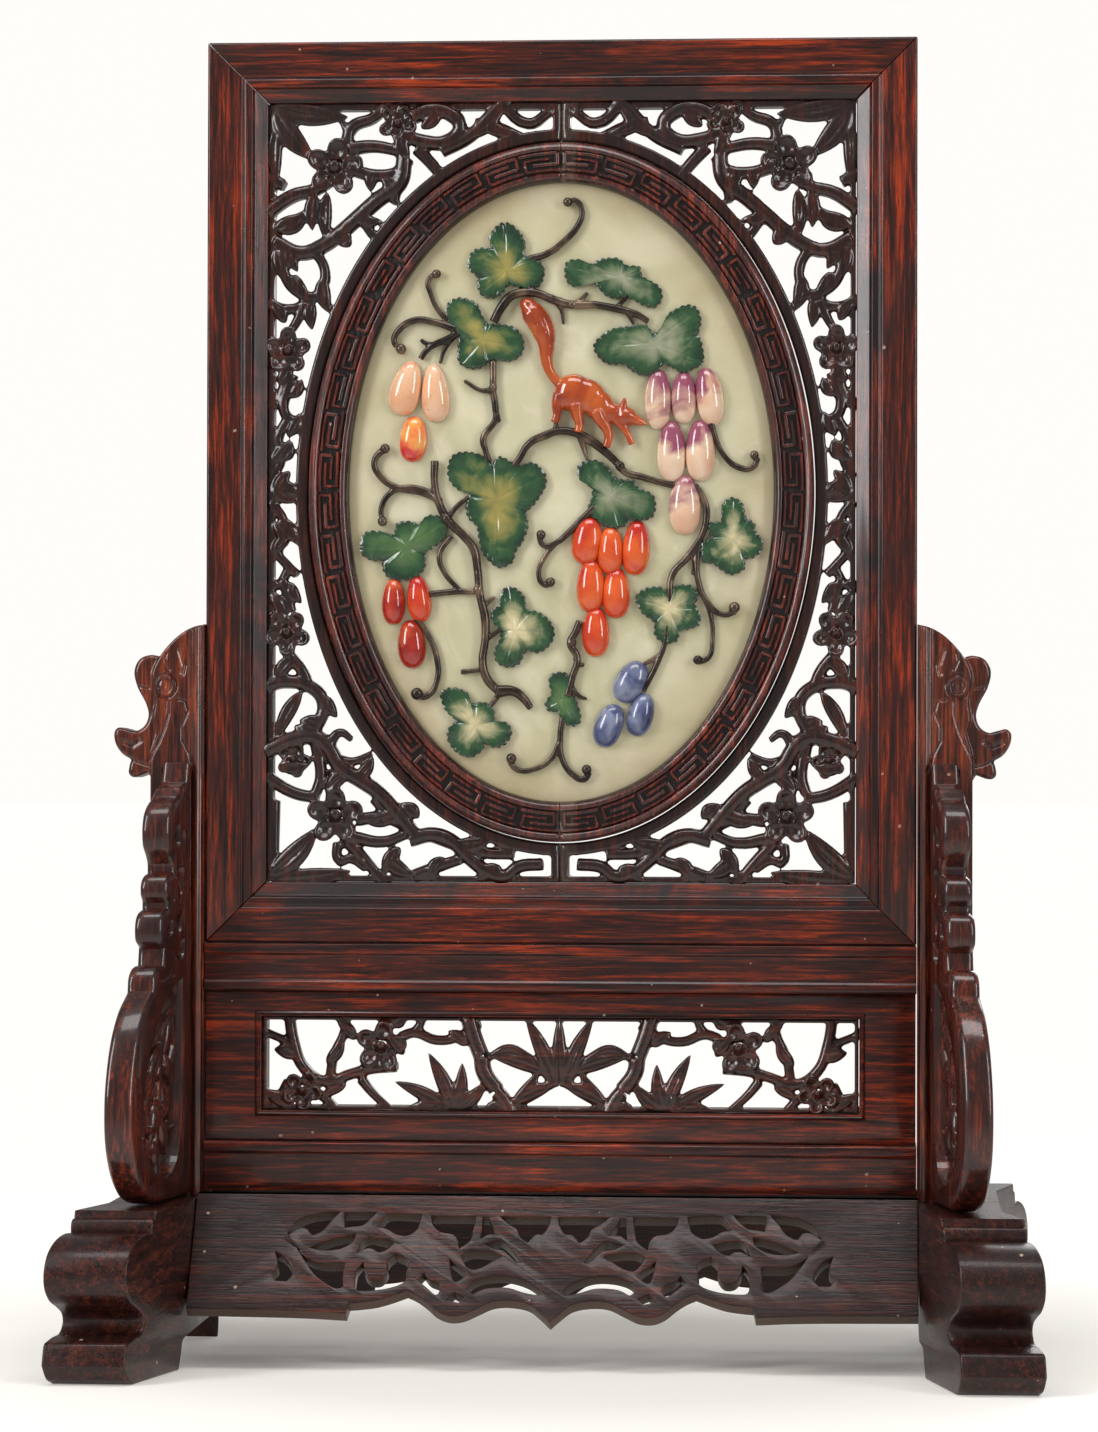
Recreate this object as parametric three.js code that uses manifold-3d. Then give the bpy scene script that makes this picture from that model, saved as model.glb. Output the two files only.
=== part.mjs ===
// A carved hardwood table screen: a mitred frame with an openwork surround and an oval ring of two
// halves, a pale jade plaque with hardstone leaves, fruit, a squirrel and vines, and the stand that
// the frame is dropped into: posts, spandrels, rails, a pierced waist panel, aprons and feet.
// Millimetres, +Z up, the front of the screen faces -Y, origin on the ground below the middle.

import * as THREE from 'three';
import { mergeVertices } from 'three/addons/utils/BufferGeometryUtils.js';
import Module from 'manifold-3d';

const wasm = await Module();
wasm.setup();

// Driving dimensions
const GAP = 0.3;                 // clearance between pieces that touch
const FRAME_HALF_WIDTH = 146;
const FRAME_HEIGHT = 371;
const FRAME_BOTTOM = 170;
const FRAME_DEPTH = 20;
const MEMBER_WIDTH = 24.8;       // width of a stile or rail of the frame
const PLAQUE_HALF_X = 87.4;      // the part of the plaque that shows inside the ring
const PLAQUE_HALF_Z = 127.2;
const PLAQUE_LAP = 4;            // how far the plaque runs on behind the ring
const PLAQUE_FACE = -3.3;        // Y of the plaque's front
const RING_WIDTH = 16.6;
const RIM_WIDTH = 5.4;           // oval rim of the openwork, outside the ring
const OPENWORK_FRONT = -5.5;
const OPENWORK_BACK = 4;
const POST_WIDTH = 22.3;
const POST_DEPTH = 24;
const POST_TOP = 301;
const FOOT_TOP = 66;
const FOOT_WIDTH = 33;
const FOOT_STRAIGHT = 45;        // the foot runs straight to this distance from the middle, then splays
const FOOT_SPLAY = 14 * Math.PI / 180;
const SPANDREL_THICKNESS = 12;
const SPANDREL_SPLAY = 10.5 * Math.PI / 180;
const WAIST_BOTTOM = 89;
const WAIST_TOP = 150;
const WAIST_OPENING = { halfX: 122.8, bottom: 101, top: 140 };
const BASE_RAIL_BOTTOM = 68.4;
const APRON_SLANT = 34 * Math.PI / 180;
const APRON_THICKNESS = 7;

const FRAME_CENTRE = FRAME_BOTTOM + FRAME_HEIGHT / 2;
const OPENING_HALF_X = FRAME_HALF_WIDTH - MEMBER_WIDTH;
const OPENING_HALF_Z = FRAME_HEIGHT / 2 - MEMBER_WIDTH;
const POST_INNER = FRAME_HALF_WIDTH + GAP;

const finish = (color, roughness, metalness = 0) =>
  new THREE.MeshStandardMaterial({ color, roughness, metalness });
const redWood = finish('#5a2014', 0.35);
const darkWood = finish('#2e1712', 0.5);
const carvedWood = finish('#36180f', 0.35);
const jadeStone = finish('#d6d1b0', 0.3);
const leafStone = finish('#4c7a4c', 0.35);
const squirrelStone = finish('#b8541f', 0.3);
const vineMetal = finish('#3b322e', 0.45, 0.3);
const coralStone = finish('#eebf96', 0.3);
const purpleStone = finish('#dcb6a4', 0.3);
const orangeStone = finish('#d8501f', 0.25);
const redStone = finish('#b0301f', 0.25);
const blueStone = finish('#4d5a86', 0.35);

const screen = new THREE.Group();

// Joining and cutting

function solid(geometry) {
  const bare = geometry.index ? geometry.toNonIndexed() : geometry.clone();
  bare.deleteAttribute('normal');
  bare.deleteAttribute('uv');
  const merged = mergeVertices(bare, 1e-3);
  return new wasm.Manifold(new wasm.Mesh({
    numProp: 3,
    vertProperties: new Float32Array(merged.attributes.position.array),
    triVerts: new Uint32Array(merged.index.array),
  }));
}

const join = (solids) => solids.reduce((whole, next) => whole.add(next));

// Joins solids and drops the needless edges on the faces that they share
const weld = (solids, tolerance = 0.1) => join(solids).asOriginal().simplify(tolerance);

// The main body of a solid, without the crumbs that a cut can leave
const mainBody = (shape) => shape.decompose().reduce((a, b) => (b.volume() > a.volume() ? b : a));

function addMesh(name, shape, material, { mirrored = false } = {}) {
  const { vertProperties, triVerts } = shape.getMesh();
  const geometry = new THREE.BufferGeometry();
  geometry.setAttribute('position', new THREE.BufferAttribute(new Float32Array(vertProperties), 3));
  geometry.setIndex(new THREE.BufferAttribute(new Uint32Array(triVerts), 1));
  geometry.computeVertexNormals();
  const mesh = new THREE.Mesh(geometry, material);
  mesh.name = name;
  if (mirrored) mesh.scale.x = -1;
  screen.add(mesh);
}

// A left piece and its mirror image on the right
function addPair(name, shape, material) {
  addMesh(`${name}_left`, shape, material, { mirrored: true });
  addMesh(`${name}_right`, shape, material);
}

// Shapes

const outline = (points) => new THREE.Shape(points.map(([x, z]) => new THREE.Vector2(x, z)));

const extrude = (shape, depth) => new THREE.ExtrudeGeometry(shape, { depth, bevelEnabled: false });

// A board cut to an outline in X and Z, from front (lower Y) to back
const board = (points, front, back) =>
  extrude(outline(points), back - front).rotateX(Math.PI / 2).translate(0, back, 0);

function box(x0, x1, y0, y1, z0, z1) {
  const geometry = new THREE.BoxGeometry(x1 - x0, y1 - y0, z1 - z0);
  return geometry.translate((x0 + x1) / 2, (y0 + y1) / 2, (z0 + z1) / 2);
}

// A moulding whose section is given in Y and Z, run along X
function moulding(section, x0, x1) {
  const geometry = extrude(outline(section), x1 - x0);
  const turn = new THREE.Matrix4().set(0, 0, 1, x0, 1, 0, 0, 0, 0, 1, 0, 0, 0, 0, 0, 1);
  return geometry.applyMatrix4(turn);
}

// A stem of even width along a smooth line through the points, tapering where tip is below 1
function ribbon(width, points, options = {}) {
  const { steps = 4, tip = 1, front = OPENWORK_FRONT, back = OPENWORK_BACK } = options;
  const line = new THREE.SplineCurve(points.map(([x, z]) => new THREE.Vector2(x, z)));
  const left = [];
  const right = [];
  for (let i = 0; i <= steps; i += 1) {
    const t = i / steps;
    const at = line.getPoint(t);
    const along = line.getTangent(t);
    const half = width / 2 * (1 + (tip - 1) * t);
    left.push([at.x - along.y * half, at.y + along.x * half]);
    right.push([at.x + along.y * half, at.y - along.x * half]);
  }
  return solid(board([...right, ...left.reverse()], front, back));
}

// A pointed leaf from its stalk to its tip
function leafBlade([x0, z0], [x1, z1], width, front = OPENWORK_FRONT, back = OPENWORK_BACK) {
  const dx = x1 - x0;
  const dz = z1 - z0;
  const side = width / 2 / Math.hypot(dx, dz);
  const at = (t, s) => [x0 + dx * t + dz * s * side, z0 + dz * t - dx * s * side];
  return solid(board([at(0, 0), at(0.4, 1), at(1, 0), at(0.4, -1)], front, back));
}

const BOSS_LIMIT = 8.5;

// A five-petalled blossom, flat, with a boss in its middle on the larger ones
function blossom([x, z], radius, front = OPENWORK_FRONT, back = OPENWORK_BACK) {
  const petals = 5;
  const points = [];
  for (let i = 0; i < petals * 2; i += 1) {
    const angle = i / petals * Math.PI + Math.PI / 2;
    const reach = radius * (i % 2 === 0 ? 1.06 : 0.74);
    points.push([x + Math.cos(angle) * reach, z + Math.sin(angle) * reach]);
  }
  const boss = new THREE.ConeGeometry(radius * 0.36, 3, 4).rotateX(Math.PI / 2).translate(x, front - 0.6, z);
  const petalBoard = solid(board(points, front, back));
  return radius > BOSS_LIMIT ? petalBoard.add(solid(boss)) : petalBoard;
}

// An oval ring of even width: a section given as distance outward and Y, swept round an ellipse
function ovalRing(section, halfX, halfZ, segments) {
  const profile = [...section, section[0]].map(([out, y]) => new THREE.Vector2(out + 1, y));
  const geometry = new THREE.LatheGeometry(profile, segments);
  const place = geometry.attributes.position;
  for (let i = 0; i < place.count; i += 1) {
    const angle = Math.atan2(place.getX(i), place.getZ(i));
    const out = Math.hypot(place.getX(i), place.getZ(i)) - 1;
    place.setXYZ(i, (halfX + out) * Math.sin(angle), place.getY(i), (halfZ + out) * Math.cos(angle));
  }
  return solid(geometry);
}

const ovalPoints = (halfX, halfZ, count) => Array.from({ length: count }, (_, i) => {
  const angle = i / count * 2 * Math.PI;
  return [halfX * Math.cos(angle), halfZ * Math.sin(angle)];
});

// Lifts a solid that was made round the middle of the opening up to its place in the frame
const inFrame = (shape) => shape.translate([0, 0, FRAME_CENTRE]);

// Frame: four members with a flat band, a groove, a bead and a lower inner moulding, mitred

function frameMember(halfLength, halfAcross, turn) {
  const front = -FRAME_DEPTH / 2;
  const section = [[0, front + 0.8], [0.8, front], [14.3, front], [15, front + 0.9], [15.8, front + 0.2],
    [18.6, front + 0.2], [19.3, front + 1.8], [MEMBER_WIDTH, front + 3.6], [MEMBER_WIDTH, 8], [0, 10]];
  const geometry = extrude(outline(section), 2);
  geometry.rotateY(Math.PI / 2).translate(-1, 0, 0);
  const place = geometry.attributes.position;
  for (let i = 0; i < place.count; i += 1) {
    const inward = -place.getZ(i);
    place.setX(i, Math.sign(place.getX(i)) * (halfLength - inward - GAP / 2));
  }
  return solid(geometry.translate(0, 0, halfAcross).rotateY(turn));
}

const frameHalfHeight = FRAME_HEIGHT / 2;
[
  ['frame_top_rail', FRAME_HALF_WIDTH, frameHalfHeight, 0],
  ['frame_bottom_rail', FRAME_HALF_WIDTH, frameHalfHeight, Math.PI],
  ['frame_stile_right', frameHalfHeight, FRAME_HALF_WIDTH, Math.PI / 2],
  ['frame_stile_left', frameHalfHeight, FRAME_HALF_WIDTH, -Math.PI / 2],
].forEach(([name, halfLength, halfAcross, turn]) => {
  addMesh(name, inFrame(frameMember(halfLength, halfAcross, turn)), redWood);
});

// Ring: an outer bead, a sunk band for the key pattern, an inner bead and a bevel down to the plaque

const ringSection = [[0, PLAQUE_FACE - GAP], [0.2, -5.6], [2.6, -8.8], [4.8, -8], [12.9, -8],
  [14.2, -9.2], [RING_WIDTH, -7.4], [RING_WIDTH, 6], [PLAQUE_LAP + GAP, 6],
  [PLAQUE_LAP + GAP, PLAQUE_FACE - GAP]];
const RING_SIDES = 24;
const ring = ovalRing(ringSection, PLAQUE_HALF_X, PLAQUE_HALF_Z, RING_SIDES);
const rightHalf = solid(box(GAP / 2, 200, -50, 50, -200, 200));
addPair('oval_ring', inFrame(ring.intersect(rightHalf)), redWood);

// Plaque, held in the rebate behind the ring

const plaqueLap = PLAQUE_LAP - GAP;
const plaqueOutline = ovalPoints(PLAQUE_HALF_X + plaqueLap, PLAQUE_HALF_Z + plaqueLap, RING_SIDES);
addMesh('jade_plaque', inFrame(solid(board(plaqueOutline, PLAQUE_FACE, PLAQUE_FACE + 6))), jadeStone);

// Openwork: the right half, drawn from the middle of the opening; the left half is its mirror image

const openworkStems = [
  [5, [66, 140], [68, 126], [84, 113], [98, 103], [122, 104]],
  [4.4, [103, 127], [122, 117]],
  [4, [86, 136], [66, 138]],
  [4.4, [90, 144], [84, 153], [70, 163]],
  [4.6, [64, 156], [43, 156], [43, 146], [60, 143]],
  [5, [64, 146], [50, 130]],
  [5, [44, 145], [33, 151], [23, 163]],
  [4.6, [35, 151], [18, 148]],
  [4.6, [25, 160], [4, 154]],
  [4.6, [114, 102], [110, 83], [102, 80], [97, 92], [101, 102]],
  [4.4, [123, 77], [103, 80]],
  [4.2, [107, 80], [113, 64]],
  [4.2, [112, 51], [115, 37], [107, 29]],
  [4.2, [113, 32], [117, 18], [121, 6]],
  [4.2, [121, -4], [115, -20], [107, -34]],
  [4.2, [115, -36], [112, -50]],
  [4.4, [112, -66], [104, -80]],
  [5, [122, -81], [100, -82], [101, -98], [122, -106]],
  [5, [104, -98], [92, -111], [76, -123], [58, -144]],
  [5, [99, -102], [97, -126]],
  [4.6, [122, -118], [98, -127]],
  [4.6, [88, -144], [71, -163]],
  [5.4, [60, -144], [46, -144], [28, -157], [4, -154]],
  [5, [50, -144], [20, -149]],
];

const openworkLeaves = [
  [[121, 161], [88, 156], 7], [[121, 161], [101, 138], 7], [[102, 128], [103, 106], 5.5],
  [[117, 106], [104, 118], 6], [[99, 90], [94, 74], 6], [[122, 0], [106, -1], 7],
  [[108, -82], [118, -104], 6], [[121, -161], [100, -138], 7.5], [[121, -161], [86, -155], 7.5],
];

const openworkBlossoms = [
  [[94, 134], 10.5], [[67.5, 152], 8], [[112.5, 58], 9.4], [[112.5, -58], 9.4],
  [[93, -133.5], 10.5], [[111, -110], 7.5],
];

function openworkHalf() {
  const reachX = OPENING_HALF_X - GAP;
  const reachZ = OPENING_HALF_Z - GAP;
  const edge = 2.2;
  const border = [[0, reachZ], [0, reachZ - edge], [reachX - edge, reachZ - edge],
    [reachX - edge, -reachZ + edge], [0, -reachZ + edge], [0, -reachZ], [reachX, -reachZ], [reachX, reachZ]];
  const rimFront = OPENWORK_FRONT;
  const rimSection = [[0, rimFront], [RIM_WIDTH, rimFront], [RIM_WIDTH, OPENWORK_BACK], [0, OPENWORK_BACK]];
  const rimReach = RING_WIDTH + GAP;
  const rim = ovalRing(rimSection, PLAQUE_HALF_X + rimReach, PLAQUE_HALF_Z + rimReach, RING_SIDES);
  const ends = [1, -1].map((up) => {
    const [low, high] = [up * (PLAQUE_HALF_Z + rimReach + 2), up * reachZ].sort((a, b) => a - b);
    return solid(box(-1, 6, OPENWORK_FRONT, OPENWORK_BACK, low, high));
  });
  const carving = [
    ...openworkStems.map(([width, ...points]) => ribbon(width, points, { steps: points.length - 1 })),
    ...openworkLeaves.map(([stalk, tip, width]) => leafBlade(stalk, tip, width)),
    ...openworkBlossoms.map(([centre, radius]) => blossom(centre, radius)),
  ];
  const ringOutline = ovalPoints(PLAQUE_HALF_X + rimReach, PLAQUE_HALF_Z + rimReach, RING_SIDES);
  const insideOval = solid(board(ringOutline, -20, 20));
  const within = solid(box(GAP / 2, reachX, -20, 20, -reachZ, reachZ));
  const half = weld([solid(board(border, OPENWORK_FRONT, OPENWORK_BACK)), ...ends, ...carving])
    .intersect(within).subtract(insideOval);
  return weld([half, rim.intersect(within)], 0.5);
}

addPair('openwork', inFrame(openworkHalf()), carvedWood);

// Vines: thin cast stems that lie on the plaque, each a tree of tubes with ball ends, drawn from
// the middle of the plaque

const vineWorks = {
  vine_top_tendril: {
    stems: [[1.3, [2, 119], [7, 118], [7, 108], [0, 101], [-13, 96]]], balls: [[2, 119.5, 2]],
  },
  vine_left_tendrils: {
    stems: [[1.1, [-51, 90], [-55, 87], [-53, 78], [-43, 68]],
      [1.2, [-66, 60], [-69, 64], [-60, 71], [-43, 67]],
      [1.2, [-58, 55], [-52, 61], [-42, 66]], [0.9, [-50, 53], [-48, 59], [-44, 64]]],
    balls: [[-51, 90, 1.9], [-66, 59, 2.3]],
  },
  vine_upper_branch: {
    stems: [[1.6, [-28, 70], [-20, 81], [-11, 82], [5, 77], [24, 75], [36, 71]], [1.2, [-11, 82], [-14, 87]],
      [1.1, [-2, 80], [1, 69]], [1.1, [5, 77], [10, 81]], [1.1, [24, 75], [27, 80]]],
    balls: [],
  },
  vine_middle_stem: {
    stems: [[1.4, [-28, 60], [-28, 42], [-27, 30], [-33, 20], [-29, 8]],
      [1.2, [-28, 40], [-35, 42], [-41, 44]]],
    balls: [],
  },
  vine_squirrel_branch: {
    stems: [[1.6, [-21, 6], [-13, 21], [-1, 25], [14, 20], [25, 9], [43, 3], [54, 1]], [1.2, [14, 20], [6, 16]],
      [1.5, [53, 1], [60, -5], [59, -19], [46, -34], [45, -46]], [1.2, [52, -28], [56, -33]],
      [1.2, [58, -18], [56, -34], [63, -48], [71, -50]], [1.1, [59, -44], [63, -60], [58, -69]]],
    balls: [[71, -49, 2.4], [58, -69, 1.9]],
  },
  vine_right_tendril: {
    stems: [[1.2, [61, 32], [65, 18], [73, 10], [80, 13]]], balls: [[80, 14, 2]],
  },
  vine_left_stem: {
    stems: [[1.6, [-52, 13], [-52, 3], [-46, -12], [-36, -23], [-33, -43], [-31, -61], [-31, -77], [-24, -83]],
      [2.2, [-26, -82], [-19, -82], [-12, -89]], [1.2, [-73, 18], [-77, 13], [-73, 6], [-58, 0], [-49, -4]],
      [1.2, [-74, -12], [-74, -4], [-66, 1], [-56, 0]], [1.2, [-46, -9], [-38, -2]],
      [1.2, [-45, -18], [-50, -29], [-43, -41]], [1.2, [-54, -42], [-44, -41], [-34, -41]],
      [1.1, [-33, -48], [-27, -43]], [1.1, [-31, -61], [-24, -56]], [1.1, [-41, -74], [-31, -74]],
      [1.2, [-25, -83], [-31, -91]]],
    balls: [[-72, 18.5, 1.9], [-74, -12, 2]],
  },
  vine_low_tendril: {
    stems: [[1.2, [-61, -50], [-52, -64], [-50, -78], [-58, -84]]], balls: [[-59, -84, 2.8]],
  },
  vine_fruit_tendrils: {
    stems: [[1.2, [14, -6], [3, -17], [-7, -22]], [1.1, [-2, -19], [-8, -32], [-5, -38]]],
    balls: [[-8, -21.5, 2], [-4, -38, 2]],
  },
  vine_fruit_stem: {
    stems: [[1.4, [8, -53], [5, -61], [7, -68], [5, -76], [3, -84]], [1.1, [6, -65], [10, -71]]], balls: [],
  },
  vine_bottom_tendrils: {
    stems: [[1.2, [1, -92], [0, -107], [5, -118], [11, -116]], [1.2, [0, -104], [-10, -114], [-20, -112]]],
    balls: [[11, -115, 2], [-20.5, -110.8, 2.2]],
  },
  vine_blue_stem: {
    stems: [[1.3, [44, -53], [40, -70], [36, -82]], [1.1, [41, -68], [35, -70]]], balls: [],
  },
};

const TUBE_STEP = 14;
const TUBE_SIDES = 3;
const onPlaque = (radius) => PLAQUE_FACE - GAP - radius;

function tube(radius, points, clearance) {
  const path = new THREE.CatmullRomCurve3(points.map(([x, z]) => new THREE.Vector3(x, onPlaque(radius), z)));
  const section = outline(ovalPoints(radius + clearance, radius + clearance, TUBE_SIDES));
  const steps = Math.max(1, Math.round(path.getLength() / TUBE_STEP));
  return solid(new THREE.ExtrudeGeometry(section, { steps, extrudePath: path, bevelEnabled: false }));
}

function ball(radius, x, z, clearance) {
  return solid(new THREE.SphereGeometry(radius + clearance, 5, 3).translate(x, onPlaque(radius), z));
}

// The work with its tubes thickened by the clearance is what the stones are notched with
const vineWork = ({ stems, balls }, clearance = 0) => weld([
  ...stems.map(([radius, ...points]) => tube(radius, points, clearance)),
  ...balls.map(([x, z, radius]) => ball(radius, x, z, clearance)),
], 0.05);

const plaqueClear = solid(box(-120, 120, PLAQUE_FACE - GAP, 20, -160, 160));
const vines = Object.entries(vineWorks).map(([name, work]) => ({
  name,
  shape: vineWork(work),
  notch: vineWork(work, 0.6),
}));

// Fruit: long cabochons with a flat back, singly or in a cluster cut from one stone

const FRUIT_THICKNESS = 6;
const NOTCH_CLEARANCE = 1.2;

function cabochon([x, z, halfX, halfZ, tilt = 0], clearance = 0) {
  const stone = new THREE.SphereGeometry(1, 6, 4).rotateX(Math.PI / 2)
    .scale(halfX + clearance, FRUIT_THICKNESS + clearance, halfZ + clearance);
  stone.rotateY(tilt * Math.PI / 180).translate(x, PLAQUE_FACE - GAP, z);
  return solid(stone).subtract(plaqueClear);
}

const fruits = {
  berry_pale_1: [coralStone, [-64, 43, 6.2, 10.8, 14]],
  berry_pale_2: [coralStone, [-52, 41, 5.4, 11.6, -4]],
  berry_pale_3: [coralStone, [-61, 22, 5.6, 8.6, 4]],
  berry_red_1: [redStone, [-69, -45, 4.9, 9.4, 0]],
  berry_red_2: [redStone, [-58.5, -44, 4.9, 9.2, -6]],
  berry_red_3: [redStone, [-61.5, -64, 5.6, 9.2, -4]],
  berry_blue_1: [blueStone, [29, -78, 6, 8.6, 30]],
  berry_blue_2: [blueStone, [20, -96, 5.6, 8.8, 20]],
  berry_blue_3: [blueStone, [34, -92, 5.2, 8.8, 15]],
  berries_orange: [orangeStone, [11, -20, 6.4, 10.2, 8], [20.5, -24, 5.9, 10.2], [31, -23, 6.1, 11.2, 4],
    [12.5, -38.5, 6.2, 11.4], [22.5, -42, 6.2, 11], [14, -57, 6, 12]],
  berries_purple: [purpleStone, [40, 38, 5.9, 12.6], [50.5, 38, 5.9, 10.8], [61, 39, 6, 12.4, -8],
    [45.8, 17, 6.3, 13.2], [57, 18, 6.4, 13], [51, -4, 7, 14]],
};

const fruitSolids = Object.entries(fruits).map(([name, [material, ...stones]]) => {
  let shape = weld(stones.map((stone) => cabochon(stone)), 0.25);
  vines.forEach(({ notch }) => { shape = shape.subtract(notch); });
  const notch = join(stones.map((stone) => cabochon(stone, NOTCH_CLEARANCE)));
  return { name, material, notch, shape: mainBody(shape) };
});
fruitSolids.forEach(({ name, material, shape }) => addMesh(name, inFrame(shape.simplify(0.02)), material));

// Leaves: thin domed stones of three to five lobes with a scalloped edge

const leafLayouts = {
  leaf_top: { at: [-23, 93], lobes: [[2, 13], [-11, 3], [-5, -8], [11, -5]] },
  leaf_long: { at: [20, 86], lobes: [[-20, 3], [-7, -1], [3, 8], [13, 3], [22, -3], [6, -7]] },
  leaf_right_fan: { at: [40, 64], lobes: [[-21, -3], [-7, -10], [11, 9], [16, -3], [12, -13]] },
  leaf_left: { at: [-32, 65], lobes: [[-9, 10], [12, -4], [-7, -8]] },
  leaf_middle: { at: [-25, -2], lobes: [[-15, 10], [0, 14], [14, 5], [9, -9], [-1, -23], [-9, -5]] },
  leaf_far_left: { at: [-64, -22], lobes: [[-13, 0], [11, 7], [0, -10]] },
  leaf_over_fruit: { at: [20, -1], lobes: [[-9, 10], [13, -4], [2, -12], [-7, -6]] },
  leaf_far_right: { at: [70, -19], lobes: [[0, 12], [9, 3], [10, -4], [0, -13], [-9, -3]] },
  leaf_low_right: { at: [44, -48], lobes: [[-8, 4], [9, 4], [9, -5], [0, -10]] },
  leaf_low_middle: { at: [-18, -55], lobes: [[-2, 12], [10, -3], [-4, -13], [-6, 3]] },
  leaf_low_left: { at: [-36, -95], lobes: [[-8, 8], [12, -4], [-5, -8], [4, 3]] },
  leaf_small: { at: [1, -84], lobes: [[0, 6], [-3, -4], [4, -7]] },
};

// The outline bulges round each lobe and draws in between them
function leafOutline(lobes, spread = 0) {
  const angles = lobes.map(([x, z]) => Math.atan2(z, x));
  const order = lobes.map((_, i) => i).sort((a, b) => angles[a] - angles[b]);
  const points = [];
  order.forEach((now, i) => {
    const next = order[(i + 1) % order.length];
    const reach = Math.hypot(...lobes[now]) + 3.4 + spread;
    const turn = (angles[next] - angles[now] + 4 * Math.PI) % (2 * Math.PI);
    [-0.34, 0.34].forEach((side) => {
      const lean = angles[now] + side * Math.min(1, 9 / reach);
      points.push([Math.cos(lean) * reach * 0.96, Math.sin(lean) * reach * 0.96]);
    });
    const waist = 0.6 * Math.min(reach, Math.hypot(...lobes[next]) + 3.4) + 1;
    points.push([Math.cos(angles[now] + turn / 2) * waist, Math.sin(angles[now] + turn / 2) * waist]);
  });
  return points;
}

const LEAF_THICKNESS = 4.4;
Object.entries(leafLayouts).forEach(([name, { at: [x, z], lobes }]) => {
  const back = PLAQUE_FACE - GAP;
  const blade = board(leafOutline(lobes), back - LEAF_THICKNESS, back);
  let stone = solid(blade.translate(x, 0, z));
  [...vines, ...fruitSolids].forEach(({ notch }) => { stone = stone.subtract(notch); });
  addMesh(name, inFrame(mainBody(stone).simplify(0.05)), leafStone);
});

// Squirrel: a relief of one stone, walking to the right with its tail up

function limb(radius, tipRadius, from, to) {
  const length = Math.hypot(to[0] - from[0], to[1] - from[1]);
  const leg = new THREE.CylinderGeometry(tipRadius, radius, length, 4).rotateX(Math.PI / 2);
  leg.rotateY(Math.atan2(to[0] - from[0], to[1] - from[1]));
  return solid(leg.translate((from[0] + to[0]) / 2, PLAQUE_FACE - 2.2, (from[1] + to[1]) / 2));
}

function lump(x, z, halfX, halfZ, tilt = 0, thickness = 5) {
  const shape = new THREE.SphereGeometry(1, 6, 4).scale(halfX, thickness, halfZ);
  return solid(shape.rotateY(tilt * Math.PI / 180).translate(x, PLAQUE_FACE - 1, z));
}

function tail() {
  const joint = (x, z) => new THREE.Vector2(x, z);
  const line = new THREE.SplineCurve([joint(-14, 77), joint(-7, 70), joint(-7, 56), joint(-2, 44)]);
  const widths = [5, 9.5, 5.5, 4];
  const spans = widths.length - 1;
  const pieces = widths.slice(1).map((width, i) => {
    const from = line.getPoint(i / spans);
    const to = line.getPoint((i + 1) / spans);
    return limb(widths[i] / 2, width / 2, [from.x, from.y], [to.x, to.y]);
  });
  return join(pieces);
}

let squirrel = weld([
  tail(), lump(9, 40.5, 13, 6.4, 16), lump(25, 32.5, 5.6, 4, 20),
  limb(2.4, 1, [28, 31.5], [35.5, 28]), limb(1.5, 0.7, [25, 35], [27.5, 40.5]),
  limb(2.6, 1.2, [-2, 41], [-3, 30]), limb(2.6, 1.2, [4, 39], [5.5, 27]),
  limb(2.2, 1.1, [17, 36], [19, 21]), limb(2, 1, [19, 35], [30, 20]),
], 0.4).subtract(plaqueClear);
vines.forEach(({ notch }) => { squirrel = squirrel.subtract(notch); });
addMesh('squirrel', inFrame(mainBody(squirrel).simplify(0.1)), squirrelStone);

vines.forEach(({ name, shape }) => addMesh(name, inFrame(shape), vineMetal));

// Posts: square, with a beast's head and curled snout carved on the outer side near the top

const headOutline = [[0, 0], [6, -2], [15.5, -9.5], [19, -15], [26.8, -13], [29.6, -19.5], [27.8, -25.5],
  [23.9, -33.5], [24, -39], [27, -42.5], [37.8, -42.4], [37.4, -48.2], [31, -54.5], [31.6, -62], [23.5, -60.6],
  [20, -66], [0, -66]];
const postHead = board(headOutline.map(([x, z]) => [POST_INNER + x, POST_TOP + z]), -9, 9);
const eye = new THREE.CylinderGeometry(4.2, 4.2, 1.6, 7).translate(POST_INNER + 16, -9.4, POST_TOP - 26);
const postBody = box(POST_INNER, POST_INNER + POST_WIDTH, -POST_DEPTH / 2, POST_DEPTH / 2,
  FOOT_TOP + GAP, POST_TOP - 30);
const postNeck = board([[0, -31], [0, 0], [6, -2], [14, -9], [18, -31]]
  .map(([x, z]) => [POST_INNER + x, POST_TOP + z]), -POST_DEPTH / 2, POST_DEPTH / 2);
addPair('post', weld([solid(postHead), solid(eye), solid(postBody), solid(postNeck)]), redWood);

// Feet: a moulded side profile, straight in the middle and splayed outward at both ends

const footEnd = [[45, FOOT_TOP], [77, FOOT_TOP], [77.6, 63], [80, 62], [80.5, 57.5], [89, 57], [101, 53.5],
  [106, 47], [105.5, 39], [99, 33], [90, 29], [87.5, 24], [90, 19], [99, 18], [106, 15], [107.5, 8],
  [103, 2], [98, 0], [54, 0], [51, 9], [45, 13]];
const footInner = 147;

function footBlock(profile, direction) {
  const geometry = extrude(outline(profile), FOOT_WIDTH);
  const place = geometry.attributes.position;
  for (let i = 0; i < place.count; i += 1) {
    const along = place.getX(i);
    const splay = Math.max(0, along - FOOT_STRAIGHT) * Math.tan(FOOT_SPLAY);
    place.setXYZ(i, footInner + FOOT_WIDTH - place.getZ(i) + splay, -along, place.getY(i));
  }
  const block = solid(geometry);
  return direction > 0 ? block : block.mirror([0, 1, 0]);
}

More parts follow.
